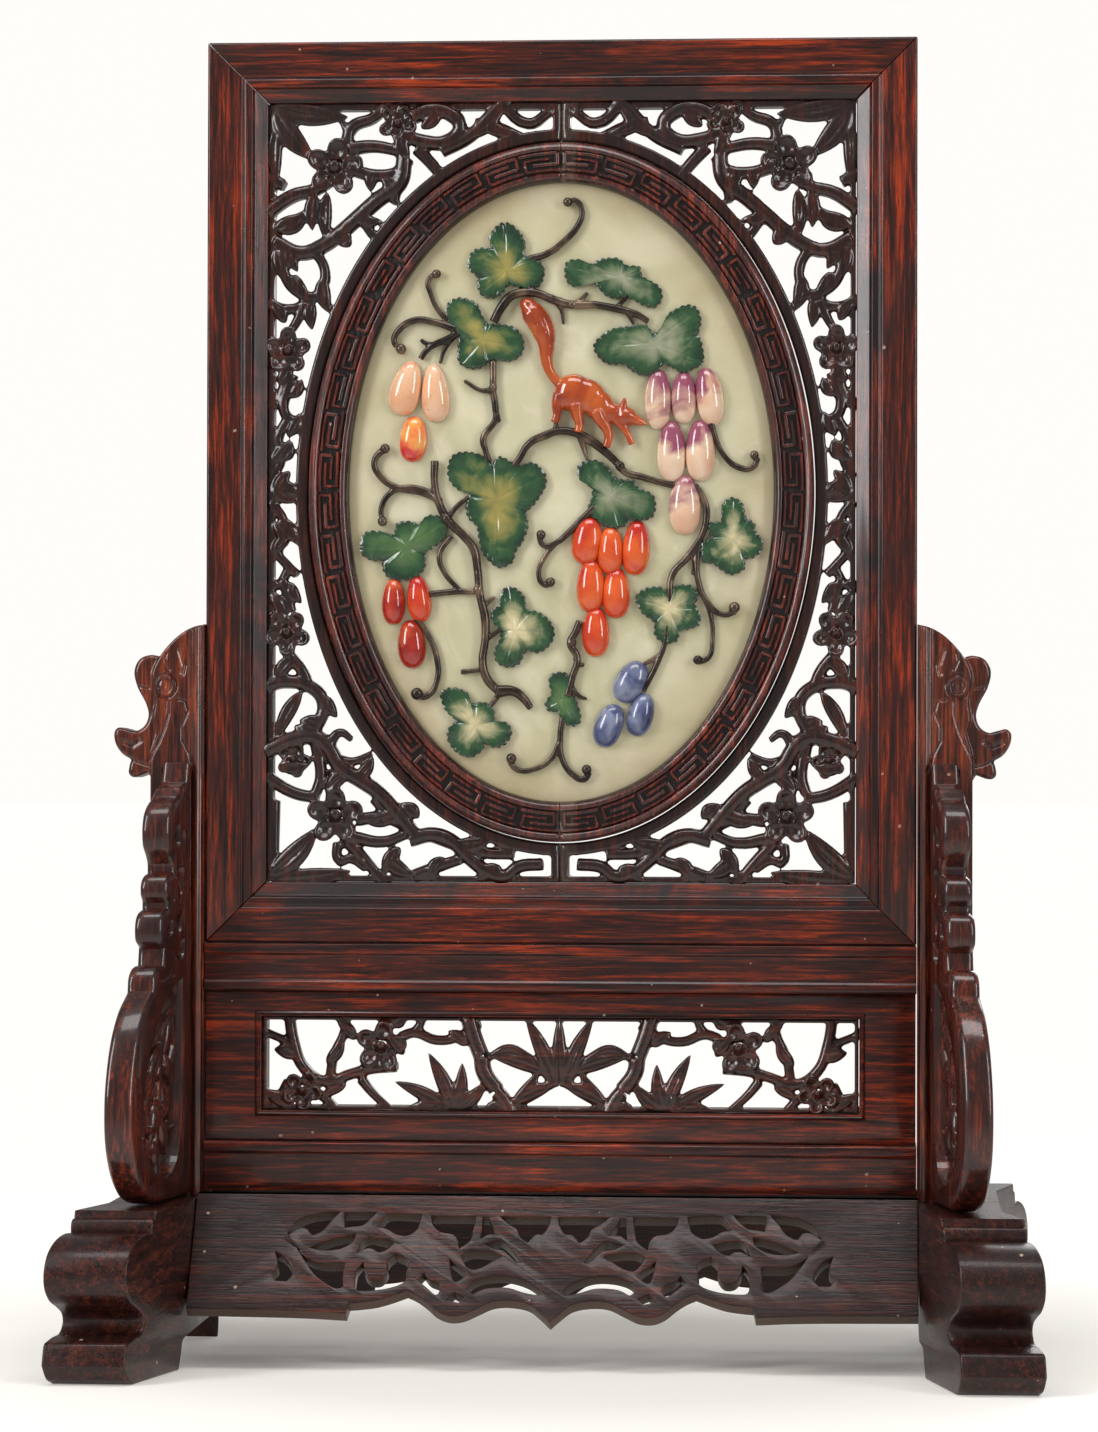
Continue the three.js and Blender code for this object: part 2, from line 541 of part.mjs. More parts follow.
const footMiddle = [[-45, FOOT_TOP], [45, FOOT_TOP], [45, 13], [-45, 13]];
const footBlocks = [footBlock(footEnd, 1), footBlock(footMiddle, 1), footBlock(footEnd, -1)];
addPair('foot', weld(footBlocks, 0.01), darkWood);

// Spandrels: pierced boards that brace each post, front and back, and splay outward with the feet

const spandrelOutline = [[0, 244], [3, 244], [5, 236], [15, 231], [24, 224], [27.5, 216], [24, 206], [21, 199],
  [28, 195], [29, 187], [27, 184], [34, 179], [35, 172], [31, 168], [40, 160], [44, 152], [56, 141], [66, 127],
  [70, 110], [68, 92], [60, 76], [47, 67], [22, 66.4], [0, 66.4]];
const spandrelHoles = [
  [[9, 223], [17, 218], [14, 208]], [[11, 202], [20, 196], [14, 186]], [[10, 182], [24, 177], [13, 167]],
  [[13, 147], [42, 140], [20, 128]], [[46, 135], [58, 122], [48, 109], [40, 124]],
  [[13, 124], [36, 118], [15, 106]], [[52, 106], [61, 106], [56, 90]],
  [[14, 101], [36, 104], [22, 82]], [[40, 97], [51, 86], [38, 76], [28, 82]],
];

// A slab of the outline, given as distance from the post and Z, stood up along its splayed line
function spandrelSlab(points, thickness) {
  const geometry = extrude(outline(points), thickness);
  const place = geometry.attributes.position;
  const middle = POST_INNER + POST_WIDTH / 2 - 0.5;
  for (let i = 0; i < place.count; i += 1) {
    const along = place.getX(i);
    const across = thickness / 2 - place.getZ(i);
    place.setXYZ(i, middle + across + along * Math.tan(SPANDREL_SPLAY), -(POST_DEPTH / 2 + GAP + along),
      place.getY(i));
  }
  return solid(geometry);
}

function spandrelBoard(direction) {
  const slab = spandrelSlab(spandrelOutline, SPANDREL_THICKNESS);
  const piece = slab.subtract(join(spandrelHoles.map((hole) => spandrelSlab(hole, SPANDREL_THICKNESS + 4))));
  return direction > 0 ? piece : piece.mirror([0, 1, 0]);
}

addPair('spandrel_front', spandrelBoard(1), redWood);
addPair('spandrel_back', spandrelBoard(-1), redWood);

// Rails of the stand, with a bead along each edge

const railHalf = FRAME_HALF_WIDTH;
const topRail = [[-12.4, 169.7], [-12.4, 166], [-11.4, 165], [-11.4, 155], [-12.4, 154], [-12.4, 151.4],
  [-11.6, WAIST_TOP + GAP], [11.6, WAIST_TOP + GAP], [12.4, 151.4], [12.4, 169.7]];
addMesh('stand_top_rail', solid(moulding(topRail, -railHalf, railHalf)), redWood);
const baseRail = [[-11.6, WAIST_BOTTOM - GAP], [-12.6, 87.8], [-12.6, 84.6], [-11.4, 83.6],
  [-12, BASE_RAIL_BOTTOM], [12, BASE_RAIL_BOTTOM], [12, WAIST_BOTTOM - GAP]];
addMesh('stand_bottom_rail', solid(moulding(baseRail, -railHalf, railHalf)), redWood);

// Waist panel and the carving let into its opening

const { halfX: openX, bottom: openBottom, top: openTop } = WAIST_OPENING;
const waistHalf = FRAME_HALF_WIDTH - GAP;
const panel = solid(box(-waistHalf, waistHalf, -9, 8, WAIST_BOTTOM, WAIST_TOP));
addMesh('waist_panel', panel.subtract(solid(box(-openX, openX, -20, 20, openBottom, openTop))), redWood);

const waistStems = [
  [5, [0, 115], [8, 108], [22, 103]], [4.4, [6, 116], [18, 127], [31, 123]], [4, [66, 131], [38, 132]],
  [4.6, [68, 119], [96, 111], [108, 120], [112, 140]], [4.4, [95, 113], [88, 140]],
  [4.6, [80, 118], [69, 101]],
];
const waistLeaves = [
  [[3, 112], [12, 140], 7], [[22, 102], [8, 122], 6.5], [[43, 101], [54, 126], 7], [[43, 101], [40, 123], 6],
  [[43, 102], [32, 114], 5], [[109, 126], [121, 124], 7],
];
const stalkJoints = [[37, 141], [32, 121], [21, 100]];

function waistCarving() {
  const front = -6;
  const back = 5;
  const depth = { front, back };
  const half = [
    ...waistStems.map(([width, ...points]) => ribbon(width, points, { ...depth, steps: points.length - 1 })),
    ...waistLeaves.map(([stalk, tip, width]) => leafBlade(stalk, tip, width, front, back)),
    ...stalkJoints.slice(1).map((joint, i) => ribbon(7.6, [stalkJoints[i], joint],
      { ...depth, steps: 1, tip: 0.82 })),
    blossom([73.5, 127.5], 10, front, back), blossom([106, 108], 7.5, front, back),
  ];
  const within = solid(box(-openX + GAP, openX - GAP, -20, 20, openBottom + GAP, openTop - GAP));
  const edges = [openBottom, openTop - 1.6].map((z) => solid(box(-openX, openX, front, back, z, z + 1.6)));
  const right = weld(half, 0.5);
  const centre = leafBlade([0, 112], [0, 141], 8, front, back);
  return weld([right, right.mirror([1, 0, 0]), centre, ...edges]).intersect(within);
}

addMesh('waist_carving', waistCarving().simplify(0.5), carvedWood);

// Aprons: boards that slant outward between the feet, with a shaped lower edge; the front is pierced

const apronDrop = (height) => -height / Math.cos(APRON_SLANT);   // distance down the slope
const apronHalf = footInner - GAP;
const lowerEdge = [[0, 51], [5, 47.5], [16, 42], [27, 43.5], [36, 48], [43, 49], [50, 47], [60, 39.5], [66, 41],
  [82, 44.5], [83, 48.5], [apronHalf, 47]];
const apronHoles = [
  [[3, 12], [24, 12.5], [11, 21]], [[32, 12], [50, 12.5], [40, 25]], [[55, 12.5], [70, 12], [61, 20]],
  [[76, 12], [102, 13], [111, 20]], [[66, 22], [80, 20], [84, 27]], [[92, 30], [115, 25], [112, 37]],
  [[60, 28], [68, 27], [80, 39], [66, 38.5]], [[36, 36], [41, 29], [46, 37]],
  [[6, 42], [14, 36], [36, 38]],
];

function apron(holes) {
  const down = ([x, drop]) => [x, apronDrop(drop)];
  const right = lowerEdge.map(down);
  const left = right.slice(1).reverse().map(([x, v]) => [-x, v]);
  const edge = [...left, ...right, [apronHalf, 0], [-apronHalf, 0]];
  const lean = (points, front, back) => solid(board(points, front, back)
    .rotateX(-APRON_SLANT).translate(0, -16.2, BASE_RAIL_BOTTOM - GAP));
  const above = solid(box(-200, 200, -100, 100, BASE_RAIL_BOTTOM - GAP, 100));
  const half = holes.map((hole) => lean(hole.map(down), -3, APRON_THICKNESS + 3));
  const plain = lean(edge, 0, APRON_THICKNESS).subtract(above);
  return half.reduce((whole, cut) => whole.subtract(cut).subtract(cut.mirror([1, 0, 0])), plain);
}

addMesh('apron_front', apron(apronHoles), darkWood);
addMesh('apron_back', apron([]).mirror([0, 1, 0]), darkWood);

export default screen;
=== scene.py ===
"""A carved hardwood table screen with a jade plaque and stone fruit, on its footed stand."""

import math
import random

import bpy
from mathutils import Euler, Matrix, Vector, noise


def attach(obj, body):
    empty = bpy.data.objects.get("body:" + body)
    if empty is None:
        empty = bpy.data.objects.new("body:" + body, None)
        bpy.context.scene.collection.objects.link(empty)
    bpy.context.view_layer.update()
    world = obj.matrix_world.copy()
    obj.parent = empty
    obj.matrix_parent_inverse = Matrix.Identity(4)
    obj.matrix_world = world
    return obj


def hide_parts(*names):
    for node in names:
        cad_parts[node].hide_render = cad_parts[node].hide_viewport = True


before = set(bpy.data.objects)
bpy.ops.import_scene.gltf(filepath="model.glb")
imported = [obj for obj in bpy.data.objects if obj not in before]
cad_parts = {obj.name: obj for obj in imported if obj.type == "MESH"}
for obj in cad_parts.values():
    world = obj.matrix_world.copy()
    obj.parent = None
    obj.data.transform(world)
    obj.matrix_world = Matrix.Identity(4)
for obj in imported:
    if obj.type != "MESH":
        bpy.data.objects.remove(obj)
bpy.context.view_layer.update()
bpy.ops.object.select_all(action="DESELECT")
MM = 0.001

# The view: a long lens a little to the right of the middle, level with the foot of the plaque,
# with a large soft light on each side and a white table that runs on out of sight.

camera_data = bpy.data.cameras.new("camera")
camera_data.lens = 114.1
camera_data.clip_end = 60
camera = bpy.data.objects.new("camera", camera_data)
bpy.context.collection.objects.link(camera)
camera.location = (0.130, -1.864, 0.241)
level = Euler((math.radians(90.69), 0, math.radians(4.14))).to_matrix()
camera.rotation_euler = (level @ Matrix.Rotation(math.radians(0.14), 3, "Z")).to_euler()
bpy.context.scene.camera = camera
bpy.context.scene.view_settings.view_transform = "Standard"

world = bpy.data.worlds.new("daylight")
world.use_nodes = True
sky = world.node_tree.nodes["Background"]
sky.inputs["Color"].default_value = (1.0, 0.985, 0.955, 1)
seen_ray = world.node_tree.nodes.new("ShaderNodeLightPath")
sky_strength = world.node_tree.nodes.new("ShaderNodeMapRange")
sky_strength.inputs["To Min"].default_value = 0.3
sky_strength.inputs["To Max"].default_value = 1.0
world.node_tree.links.new(seen_ray.outputs["Is Camera Ray"], sky_strength.inputs["Value"])
world.node_tree.links.new(sky_strength.outputs["Result"], sky.inputs["Strength"])
bpy.context.scene.world = world


def soft_light(name, place, aim, width, height, watts):
    bpy.ops.object.light_add(type="AREA", location=place)
    lamp = bpy.context.object
    lamp.name = name
    lamp.data.shape = "RECTANGLE"
    lamp.data.size = width
    lamp.data.size_y = height
    lamp.data.energy = watts
    lamp.rotation_euler = (Vector(place) - Vector(aim)).to_track_quat("Z", "Y").to_euler()
    lamp.visible_camera = False


soft_light("window_left", (-1.5, -1.2, 1.1), (0, 0, 0.3), 0.45, 1.5, 26)
soft_light("window_right", (1.6, -1.2, 0.8), (0, 0, 0.25), 0.3, 1.4, 15)
soft_light("overhead", (0, -0.6, 2.0), (0, 0, 0.3), 1.4, 0.6, 15)
soft_light("window_back", (0.7, 1.7, 1.1), (0, 0, 0.3), 1.2, 1.0, 12)


# Materials are built from these two: a node with its sockets set or linked, and a colour ramp.

def add_node(tree, kind, sockets=None, **settings):
    made = tree.nodes.new("ShaderNode" + kind)
    for key, value in settings.items():
        setattr(made, key, value)
    for socket, value in (sockets or {}).items():
        if isinstance(value, bpy.types.NodeSocket):
            tree.links.new(value, made.inputs[socket])
        else:
            made.inputs[socket].default_value = value
    return made


def add_ramp(tree, value, *stops):
    ramp = add_node(tree, "ValToRGB", {"Fac": value})
    ramp.color_ramp.elements[0].position = stops[0][0]
    ramp.color_ramp.elements[0].color = (*stops[0][1], 1)
    ramp.color_ramp.elements[1].position = stops[-1][0]
    ramp.color_ramp.elements[1].color = (*stops[-1][1], 1)
    for place, colour in stops[1:-1]:
        ramp.color_ramp.elements.new(place).color = (*colour, 1)
    return ramp.outputs["Color"]


BLACK = (0, 0, 0)
WHITE = (1, 1, 1)

bpy.ops.mesh.primitive_plane_add(size=60)
table = bpy.context.object
table.name = "table"
table_paint = bpy.data.materials.new("white_table")
table_paint.use_nodes = True
table_shader = table_paint.node_tree.nodes["Principled BSDF"]
table_tree = table_paint.node_tree
table_place = add_node(table_tree, "TexCoord").outputs["Object"]
table_reach = add_node(table_tree, "VectorMath", {"Vector": table_place}, operation="LENGTH").outputs["Value"]
table_way = add_node(table_tree, "MapRange", {"Value": table_reach, "From Min": 0.0, "From Max": 2.0}).outputs[0]
table_tone = add_ramp(table_tree, table_way, (0.1, (0.84, 0.82, 0.78)), (0.6, BLACK))
table_glow = add_ramp(table_tree, table_way, (0.07, (0.13, 0.125, 0.115)), (0.2, (0.5, 0.49, 0.47)),
                      (0.6, (1.0, 0.985, 0.955)))
table_dim = add_ramp(table_tree, table_way, (0.07, (0.13, 0.125, 0.115)), (0.6, (0.3, 0.295, 0.285)))
table_sight = add_node(table_tree, "LightPath").outputs["Is Camera Ray"]
table_glow = add_node(table_tree, "Mix", {"Factor": table_sight, "A": table_dim, "B": table_glow},
                      data_type="RGBA").outputs["Result"]
table_tree.links.new(table_tone, table_shader.inputs["Base Color"])
table_tree.links.new(table_glow, table_shader.inputs["Emission Color"])
table_shader.inputs["Emission Strength"].default_value = 1.0
table_shader.inputs["Roughness"].default_value = 0.75
table_shader.inputs["Specular IOR Level"].default_value = 0.15
table.data.materials.append(table_paint)


# Hardwood: a dark red-brown timber with orange-red streaks along the grain, black patches, open
# pores and pale specks, partly scuffs and partly painted highlights on pits, polished by hand. The
# figure is one node group that every timber uses.

def new_group(name, inputs, outputs):
    group = bpy.data.node_groups.new(name, "ShaderNodeTree")
    for socket_name, kind in inputs:
        group.interface.new_socket(socket_name, in_out="INPUT", socket_type="NodeSocket" + kind)
    for socket_name, kind in outputs:
        group.interface.new_socket(socket_name, in_out="OUTPUT", socket_type="NodeSocket" + kind)
    source = group.nodes.new("NodeGroupInput")
    return group, source.outputs, group.nodes.new("NodeGroupOutput").inputs


grain, g_in, g_out = new_group(
    "timber_figure",
    [("Grain", "Vector"), ("Even", "Vector"), ("Dark", "Color"), ("Red", "Color"), ("Bright", "Color"),
     ("Blackness", "Float"), ("ScuffsAndGlints", "Float")],
    [("Color", "Color"), ("Roughness", "Float"), ("Height", "Float")])
broad = add_node(grain, "TexNoise", {"Vector": g_in["Grain"], "Scale": 1.0, "Detail": 6.0, "Roughness": 0.62,
                                     "Distortion": 0.9})
fine = add_node(grain, "TexNoise", {"Vector": g_in["Grain"], "Scale": 3.4, "Detail": 4.0, "Roughness": 0.6})
streaks = add_node(grain, "Mix", {"Factor": 0.36, "A": broad.outputs["Fac"], "B": fine.outputs["Fac"]})
timber_red = add_node(grain, "Mix", {"Factor": 0.5}, data_type="RGBA")
to_red = add_ramp(grain, streaks.outputs[0], (0.41, BLACK), (0.51, WHITE))
to_bright = add_ramp(grain, streaks.outputs[0], (0.51, BLACK), (0.62, WHITE))
grain.links.new(to_red, timber_red.inputs["Factor"])
grain.links.new(g_in["Dark"], timber_red.inputs["A"])
grain.links.new(g_in["Red"], timber_red.inputs["B"])
timber_bright = add_node(grain, "Mix", {"Factor": to_bright, "A": timber_red.outputs["Result"],
                                        "B": g_in["Bright"]}, data_type="RGBA")
patch = add_node(grain, "TexNoise", {"Vector": g_in["Even"], "Scale": 16.0, "Detail": 6.0, "Roughness": 0.65,
                                     "Distortion": 0.6})
patch_mask = add_ramp(grain, patch.outputs["Fac"], (0.42, BLACK), (0.6, WHITE))
patch_share = add_node(grain, "Math", {0: patch_mask, 1: g_in["Blackness"]}, operation="MULTIPLY")
patched = add_node(grain, "Mix", {"Factor": patch_share.outputs[0], "A": timber_bright.outputs["Result"],
                                  "B": (0.012, 0.006, 0.006, 1)}, data_type="RGBA")
pores = add_node(grain, "TexNoise", {"Vector": g_in["Grain"], "Scale": 9.0, "Detail": 2.0})
pore_mask = add_ramp(grain, pores.outputs["Fac"], (0.3, WHITE), (0.39, BLACK))
pored = add_node(grain, "Mix", {"Factor": pore_mask, "A": patched.outputs["Result"],
                                "B": (0.01, 0.005, 0.005, 1)}, data_type="RGBA")
# Pale specks: partly scuffs worn into the polish and partly painted highlights standing in for glints on pits
scuff_glint_bend = add_node(grain, "TexNoise", {"Vector": g_in["Even"], "Scale": 300.0, "Detail": 3.0})
scuff_glint_place = add_node(grain, "Mix", {"Factor": 0.0016, "A": g_in["Even"], "B": scuff_glint_bend.outputs["Color"]},
                       data_type="RGBA", blend_type="ADD")
scuff_glint = add_node(grain, "TexVoronoi", {"Vector": scuff_glint_place.outputs["Result"], "Scale": 150.0})
scuff_glint_dice = add_node(grain, "SeparateColor", {"Color": scuff_glint.outputs["Color"]})
scuff_glint_size = add_node(grain, "MapRange", {"Value": scuff_glint_dice.outputs["Red"], "From Min": 0.72, "From Max": 1.0,
                                          "To Min": 0.0, "To Max": 0.13})
scuff_glint_edge = add_node(grain, "Math", {0: scuff_glint_size.outputs[0], 1: scuff_glint.outputs["Distance"]},
                      operation="SUBTRACT")
scuff_glint_mask = add_ramp(grain, scuff_glint_edge.outputs[0], (0.0, BLACK), (0.025, WHITE))
scuff_glint_share = add_node(grain, "Math", {0: scuff_glint_mask, 1: g_in["ScuffsAndGlints"]}, operation="MULTIPLY")
scuffed_and_glinting = add_node(grain, "Mix", {"Factor": scuff_glint_share.outputs[0], "A": pored.outputs["Result"],
                                  "B": (0.50, 0.36, 0.27, 1)}, data_type="RGBA")
grain.links.new(scuffed_and_glinting.outputs["Result"], g_out["Color"])
shine = add_node(grain, "MapRange", {"Value": patch.outputs["Fac"], "From Min": 0.3, "From Max": 0.7,
                                     "To Min": 0.2, "To Max": 0.42})
rough_at_scuff_glints = add_node(grain, "Math", {0: scuff_glint_share.outputs[0], 1: 0.4, 2: shine.outputs[0]},
                         operation="MULTIPLY_ADD")
grain.links.new(rough_at_scuff_glints.outputs[0], g_out["Roughness"])
relief = add_node(grain, "Math", {0: pore_mask, 1: -0.6, 2: fine.outputs["Fac"]}, operation="MULTIPLY_ADD")
grain.links.new(relief.outputs[0], g_out["Height"])

ALONG = {"X": (17, 330, 330), "Y": (330, 17, 330), "Z": (330, 330, 17)}


def timber_finish(name, along, dark, red, bright, blackness=0.6, scuffs_and_glints=0.6, relief_depth=0.12, coat=0.35,
                  sawn_or_shade_colour=None, mended=0):
    """Timber with its grain along an axis; the colour given for what is marked as cut is that of sawn faces
    on the boards and painted shade on the ring's sunk band, and mended is the strength of the greyish filler of an old
    repair at the middle, beside the seam"""
    material = bpy.data.materials.new(name)
    material.use_nodes = True
    tree = material.node_tree
    place = add_node(tree, "TexCoord").outputs["Object"]
    grain_way = add_node(tree, "Mapping", {"Vector": place, "Scale": ALONG[along]})
    figure = add_node(tree, "Group", node_tree=grain)
    tree.links.new(grain_way.outputs["Vector"], figure.inputs["Grain"])
    tree.links.new(place, figure.inputs["Even"])
    figure.inputs["Dark"].default_value = (*dark, 1)
    figure.inputs["Red"].default_value = (*red, 1)
    figure.inputs["Bright"].default_value = (*bright, 1)
    figure.inputs["Blackness"].default_value = blackness
    figure.inputs["ScuffsAndGlints"].default_value = scuffs_and_glints
    bump = add_node(tree, "Bump", {"Strength": relief_depth, "Distance": 0.0006,
                                   "Height": figure.outputs["Height"]})
    shader = tree.nodes["Principled BSDF"]
    colour = figure.outputs["Color"]
    if sawn_or_shade_colour:
        # The marked share takes the given colour: sawn faces on the boards, painted shade on the ring
        cut = add_node(tree, "Attribute", attribute_name="cut").outputs["Fac"]
        colour = add_node(tree, "Mix", {"Factor": cut, "A": colour, "B": (*sawn_or_shade_colour, 1)},
                          data_type="RGBA").outputs["Result"]
    if mended:
        bend = add_node(tree, "TexNoise", {"Vector": place, "Scale": 260.0, "Detail": 5.0, "Roughness": 0.75})
        across = add_node(tree, "SeparateXYZ", {"Vector": place})
        wander = add_node(tree, "Math", {0: bend.outputs["Fac"], 1: 0.007, 2: across.outputs["X"]},
                          operation="MULTIPLY_ADD")
        offset = add_node(tree, "Math", {0: wander.outputs[0], 1: 0.0065}, operation="SUBTRACT")
        from_middle = add_node(tree, "Math", {0: offset.outputs[0]}, operation="ABSOLUTE")
        patch = add_node(tree, "MapRange", {"Value": from_middle.outputs[0], "From Min": 0.0024,
                                            "From Max": 0.0042, "To Min": mended, "To Max": 0.0})
        mottle = add_node(tree, "TexNoise", {"Vector": place, "Scale": 520.0, "Detail": 4.0, "Roughness": 0.8})
        patchy = add_ramp(tree, mottle.outputs["Fac"], (0.38, (0.2, 0.2, 0.2)), (0.6, WHITE))
        filler = add_node(tree, "Math", {0: patch.outputs[0], 1: patchy}, operation="MULTIPLY")
        colour = add_node(tree, "Mix", {"Factor": filler.outputs[0], "A": colour,
                                        "B": (0.14, 0.088, 0.066, 1)}, data_type="RGBA").outputs["Result"]
    tree.links.new(colour, shader.inputs["Base Color"])
    tree.links.new(figure.outputs["Roughness"], shader.inputs["Roughness"])
    tree.links.new(bump.outputs["Normal"], shader.inputs["Normal"])
    shader.inputs["Specular IOR Level"].default_value = 0.3
    shader.inputs["Coat Weight"].default_value = coat
    shader.inputs["Coat Roughness"].default_value = 0.1
    return material


DARK_RED = (0.015, 0.0045, 0.004)
RUST_RED = (0.085, 0.0125, 0.006)
STREAK_RED = (0.36, 0.040, 0.008)
red_timber = {way: timber_finish("polished_red_timber_" + way.lower(), way, DARK_RED, RUST_RED, STREAK_RED)
              for way in ALONG}


def finish_piece(piece, name, slot, material, *nodes):
    piece.name = name
    piece.data.name = name
    piece.data.materials.clear()
    piece.data.materials.append(material)
    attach(piece, "root")
    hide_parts(*nodes)
    piece.select_set(False)


# Frame: four mitred members of planed hardwood. Each has a flat band, a groove, a bead and a lower
# inner moulding, run with a plane along the whole length before the mitres were cut.

def apply_modifier(piece, kind, **settings):
    bpy.context.view_layer.objects.active = piece
    modifier = piece.modifiers.new(kind.lower(), kind)
    for key, value in settings.items():
        setattr(modifier, key, value)
    bpy.ops.object.modifier_apply(modifier=modifier.name)


def planed_copy(node, softness, angle=22):
    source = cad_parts[node]
    piece = bpy.data.objects.new(node + "_planed", source.data.copy())
    bpy.context.collection.objects.link(piece)
    bpy.context.view_layer.objects.active = piece
    piece.select_set(True)
    bpy.ops.object.mode_set(mode="EDIT")
    bpy.ops.mesh.select_all(action="SELECT")
    bpy.ops.mesh.remove_doubles(threshold=0.02 * MM)
    bpy.ops.mesh.dissolve_limited(angle_limit=math.radians(1))
    bpy.ops.object.mode_set(mode="OBJECT")
    apply_modifier(piece, "BEVEL", width=softness * MM, segments=3, limit_method="ANGLE",
                   angle_limit=math.radians(angle), harden_normals=False)
    bpy.ops.object.shade_smooth_by_angle(angle=math.radians(32))
    return piece


OPENING_X = 0.1209
OPENING_Z = 0.1604
FRAME_MIDDLE = 0.3555
frame_timber = {}
for way in "XZ":
    timber = timber_finish("frame_timber_" + way.lower(), way, DARK_RED, RUST_RED, STREAK_RED, coat=0.4)
    tree = timber.node_tree
    at = add_node(tree, "SeparateXYZ", {"Vector": add_node(tree, "TexCoord").outputs["Object"]})
    side = add_node(tree, "Math", {0: at.outputs["X"]}, operation="ABSOLUTE")
    from_side = add_node(tree, "Math", {0: side.outputs[0], 1: OPENING_X}, operation="SUBTRACT")
    rise = add_node(tree, "Math", {0: at.outputs["Z"], 1: FRAME_MIDDLE}, operation="SUBTRACT")
    end = add_node(tree, "Math", {0: rise.outputs[0]}, operation="ABSOLUTE")
    from_end = add_node(tree, "Math", {0: end.outputs[0], 1: OPENING_Z}, operation="SUBTRACT")
    inward = add_node(tree, "Math", {0: from_side.outputs[0], 1: from_end.outputs[0]}, operation="MAXIMUM")
    # Black patches are full within 9.5 mm of the opening and thin to 0.55 beyond 12.5 mm, so the lower inner moulding
    # is darker
    black_near_opening = add_node(tree, "MapRange", {"Value": inward.outputs[0], "From Min": 0.0095, "From Max": 0.0125,
                                             "To Min": 1.0, "To Max": 0.55})
    figure = next(node for node in tree.nodes if node.type == "GROUP")
    tree.links.new(black_near_opening.outputs[0], figure.inputs["Blackness"])
    frame_timber[way] = timber
for member, way in (("frame_top_rail", "X"), ("frame_bottom_rail", "X"), ("frame_stile_left", "Z"),
                    ("frame_stile_right", "Z")):
    finish_piece(planed_copy(member, 0.45), member + "_moulded", "red_wood", frame_timber[way], member)

# Ring: two half ovals of dark hardwood round the plaque, each turned to a bead, a sunk band and a
# thin inner lip, with a running key fret carved in the band. The seams are at the top and bottom.

FRAME_CENTRE_Z = 355.5
PLAQUE_HALF_X = 87.4
PLAQUE_HALF_Z = 127.2
PLAQUE_FRONT = -3.6
SEAM = 0.15


def join_pieces(pieces):
    bpy.ops.object.select_all(action="DESELECT")
    for piece in pieces:
        piece.select_set(True)
    bpy.context.view_layer.objects.active = pieces[0]
    if len(pieces) > 1:
        bpy.ops.object.join()
    return bpy.context.object


def clean_mesh(piece, weld=0.01):
    bpy.context.view_layer.objects.active = piece
    piece.select_set(True)
    bpy.ops.object.mode_set(mode="EDIT")
    bpy.ops.mesh.select_all(action="SELECT")
    bpy.ops.mesh.remove_doubles(threshold=weld * MM)
    bpy.ops.mesh.select_all(action="DESELECT")
    bpy.ops.mesh.select_non_manifold()
    bpy.ops.mesh.fill_holes(sides=0)
    bpy.ops.mesh.select_all(action="SELECT")
    bpy.ops.mesh.normals_make_consistent(inside=False)
    bpy.ops.object.mode_set(mode="OBJECT")


def run_moulding(section, stations):
    """A closed section of (out, y) run past stations of (x, z, out_x, out_z), with its ends filled"""
    bpy.ops.mesh.primitive_grid_add(x_subdivisions=len(section), y_subdivisions=len(stations) - 1)
    piece = bpy.context.object
    closed = [*section, section[0]]
    places = []
    for x, z, out_x, out_z in stations:
        places += [((x + out * out_x) * MM, y * MM, (z + out * out_z) * MM) for out, y in closed]
    piece.data.vertices.foreach_set("co", [value for place in places for value in place])
    clean_mesh(piece)
    return piece


def oval_stations(half_x, half_z, start, stop, count):
    stations = []
    for i in range(count + 1):
        angle = math.radians(start + (stop - start) * i / count)
        out = Vector((math.cos(angle) * half_z, math.sin(angle) * half_x)).normalized()
        stations.append((half_x * math.cos(angle), FRAME_CENTRE_Z + half_z * math.sin(angle), *out))
    return stations


BAND_FLOOR = -7.2
RING_SECTION = [(0, PLAQUE_FRONT), (0.1, -5.2), (0.5, -6.4), (1.4, -7.6), (2.4, -8.3), (3.3, -8.3), (3.8, -7.9),
                (4.1, BAND_FLOOR), (12.6, BAND_FLOOR), (12.9, -8.4), (13.4, -9.1), (14.3, -9.4), (15.4, -8.9),
                (16.2, -7.9), (16.6, -6.6), (16.6, 6), (4.3, 6), (4.3, PLAQUE_FRONT)]

# One fret fills four rows, numbered from the inner edge. Each place is a share of the fret's length
# and a row: a hook that hangs from the outer row, and one that stands on the inner row.
FRET_ROWS = (5.0, 7.3, 9.6, 11.9)
FRET_HOOKS = [[(0.0, 3), (0.9, 3), (0.9, 1), (0.3, 1)], [(1.0, 0), (0.12, 0), (0.12, 2), (0.72, 2)]]
FRETS_IN_HALF = 22
FRET_WIDTH = 1.35


def ring_place(share, out):
    angle = math.radians(-90 + 180 * share)
    x, z = PLAQUE_HALF_X * math.cos(angle), PLAQUE_HALF_Z * math.sin(angle)
    way = Vector((math.cos(angle) * PLAQUE_HALF_Z, math.sin(angle) * PLAQUE_HALF_X)).normalized()
    return x + out * way.x, FRAME_CENTRE_Z + z + out * way.y


def even_shares(count):
    """Shares of the half turn that are evenly spaced along the band"""
    fine_count = 2000
    places = [Vector(ring_place(i / fine_count, 8.5)) for i in range(fine_count + 1)]
    runs = [0.0]
    for before, after in zip(places, places[1:]):
        runs.append(runs[-1] + (after - before).length)
    shares, at = [], 0
    for i in range(count + 1):
        goal = runs[-1] * i / count
        while at < fine_count and runs[at] < goal - 1e-9:
            at += 1
        shares.append(at / fine_count)
    return shares


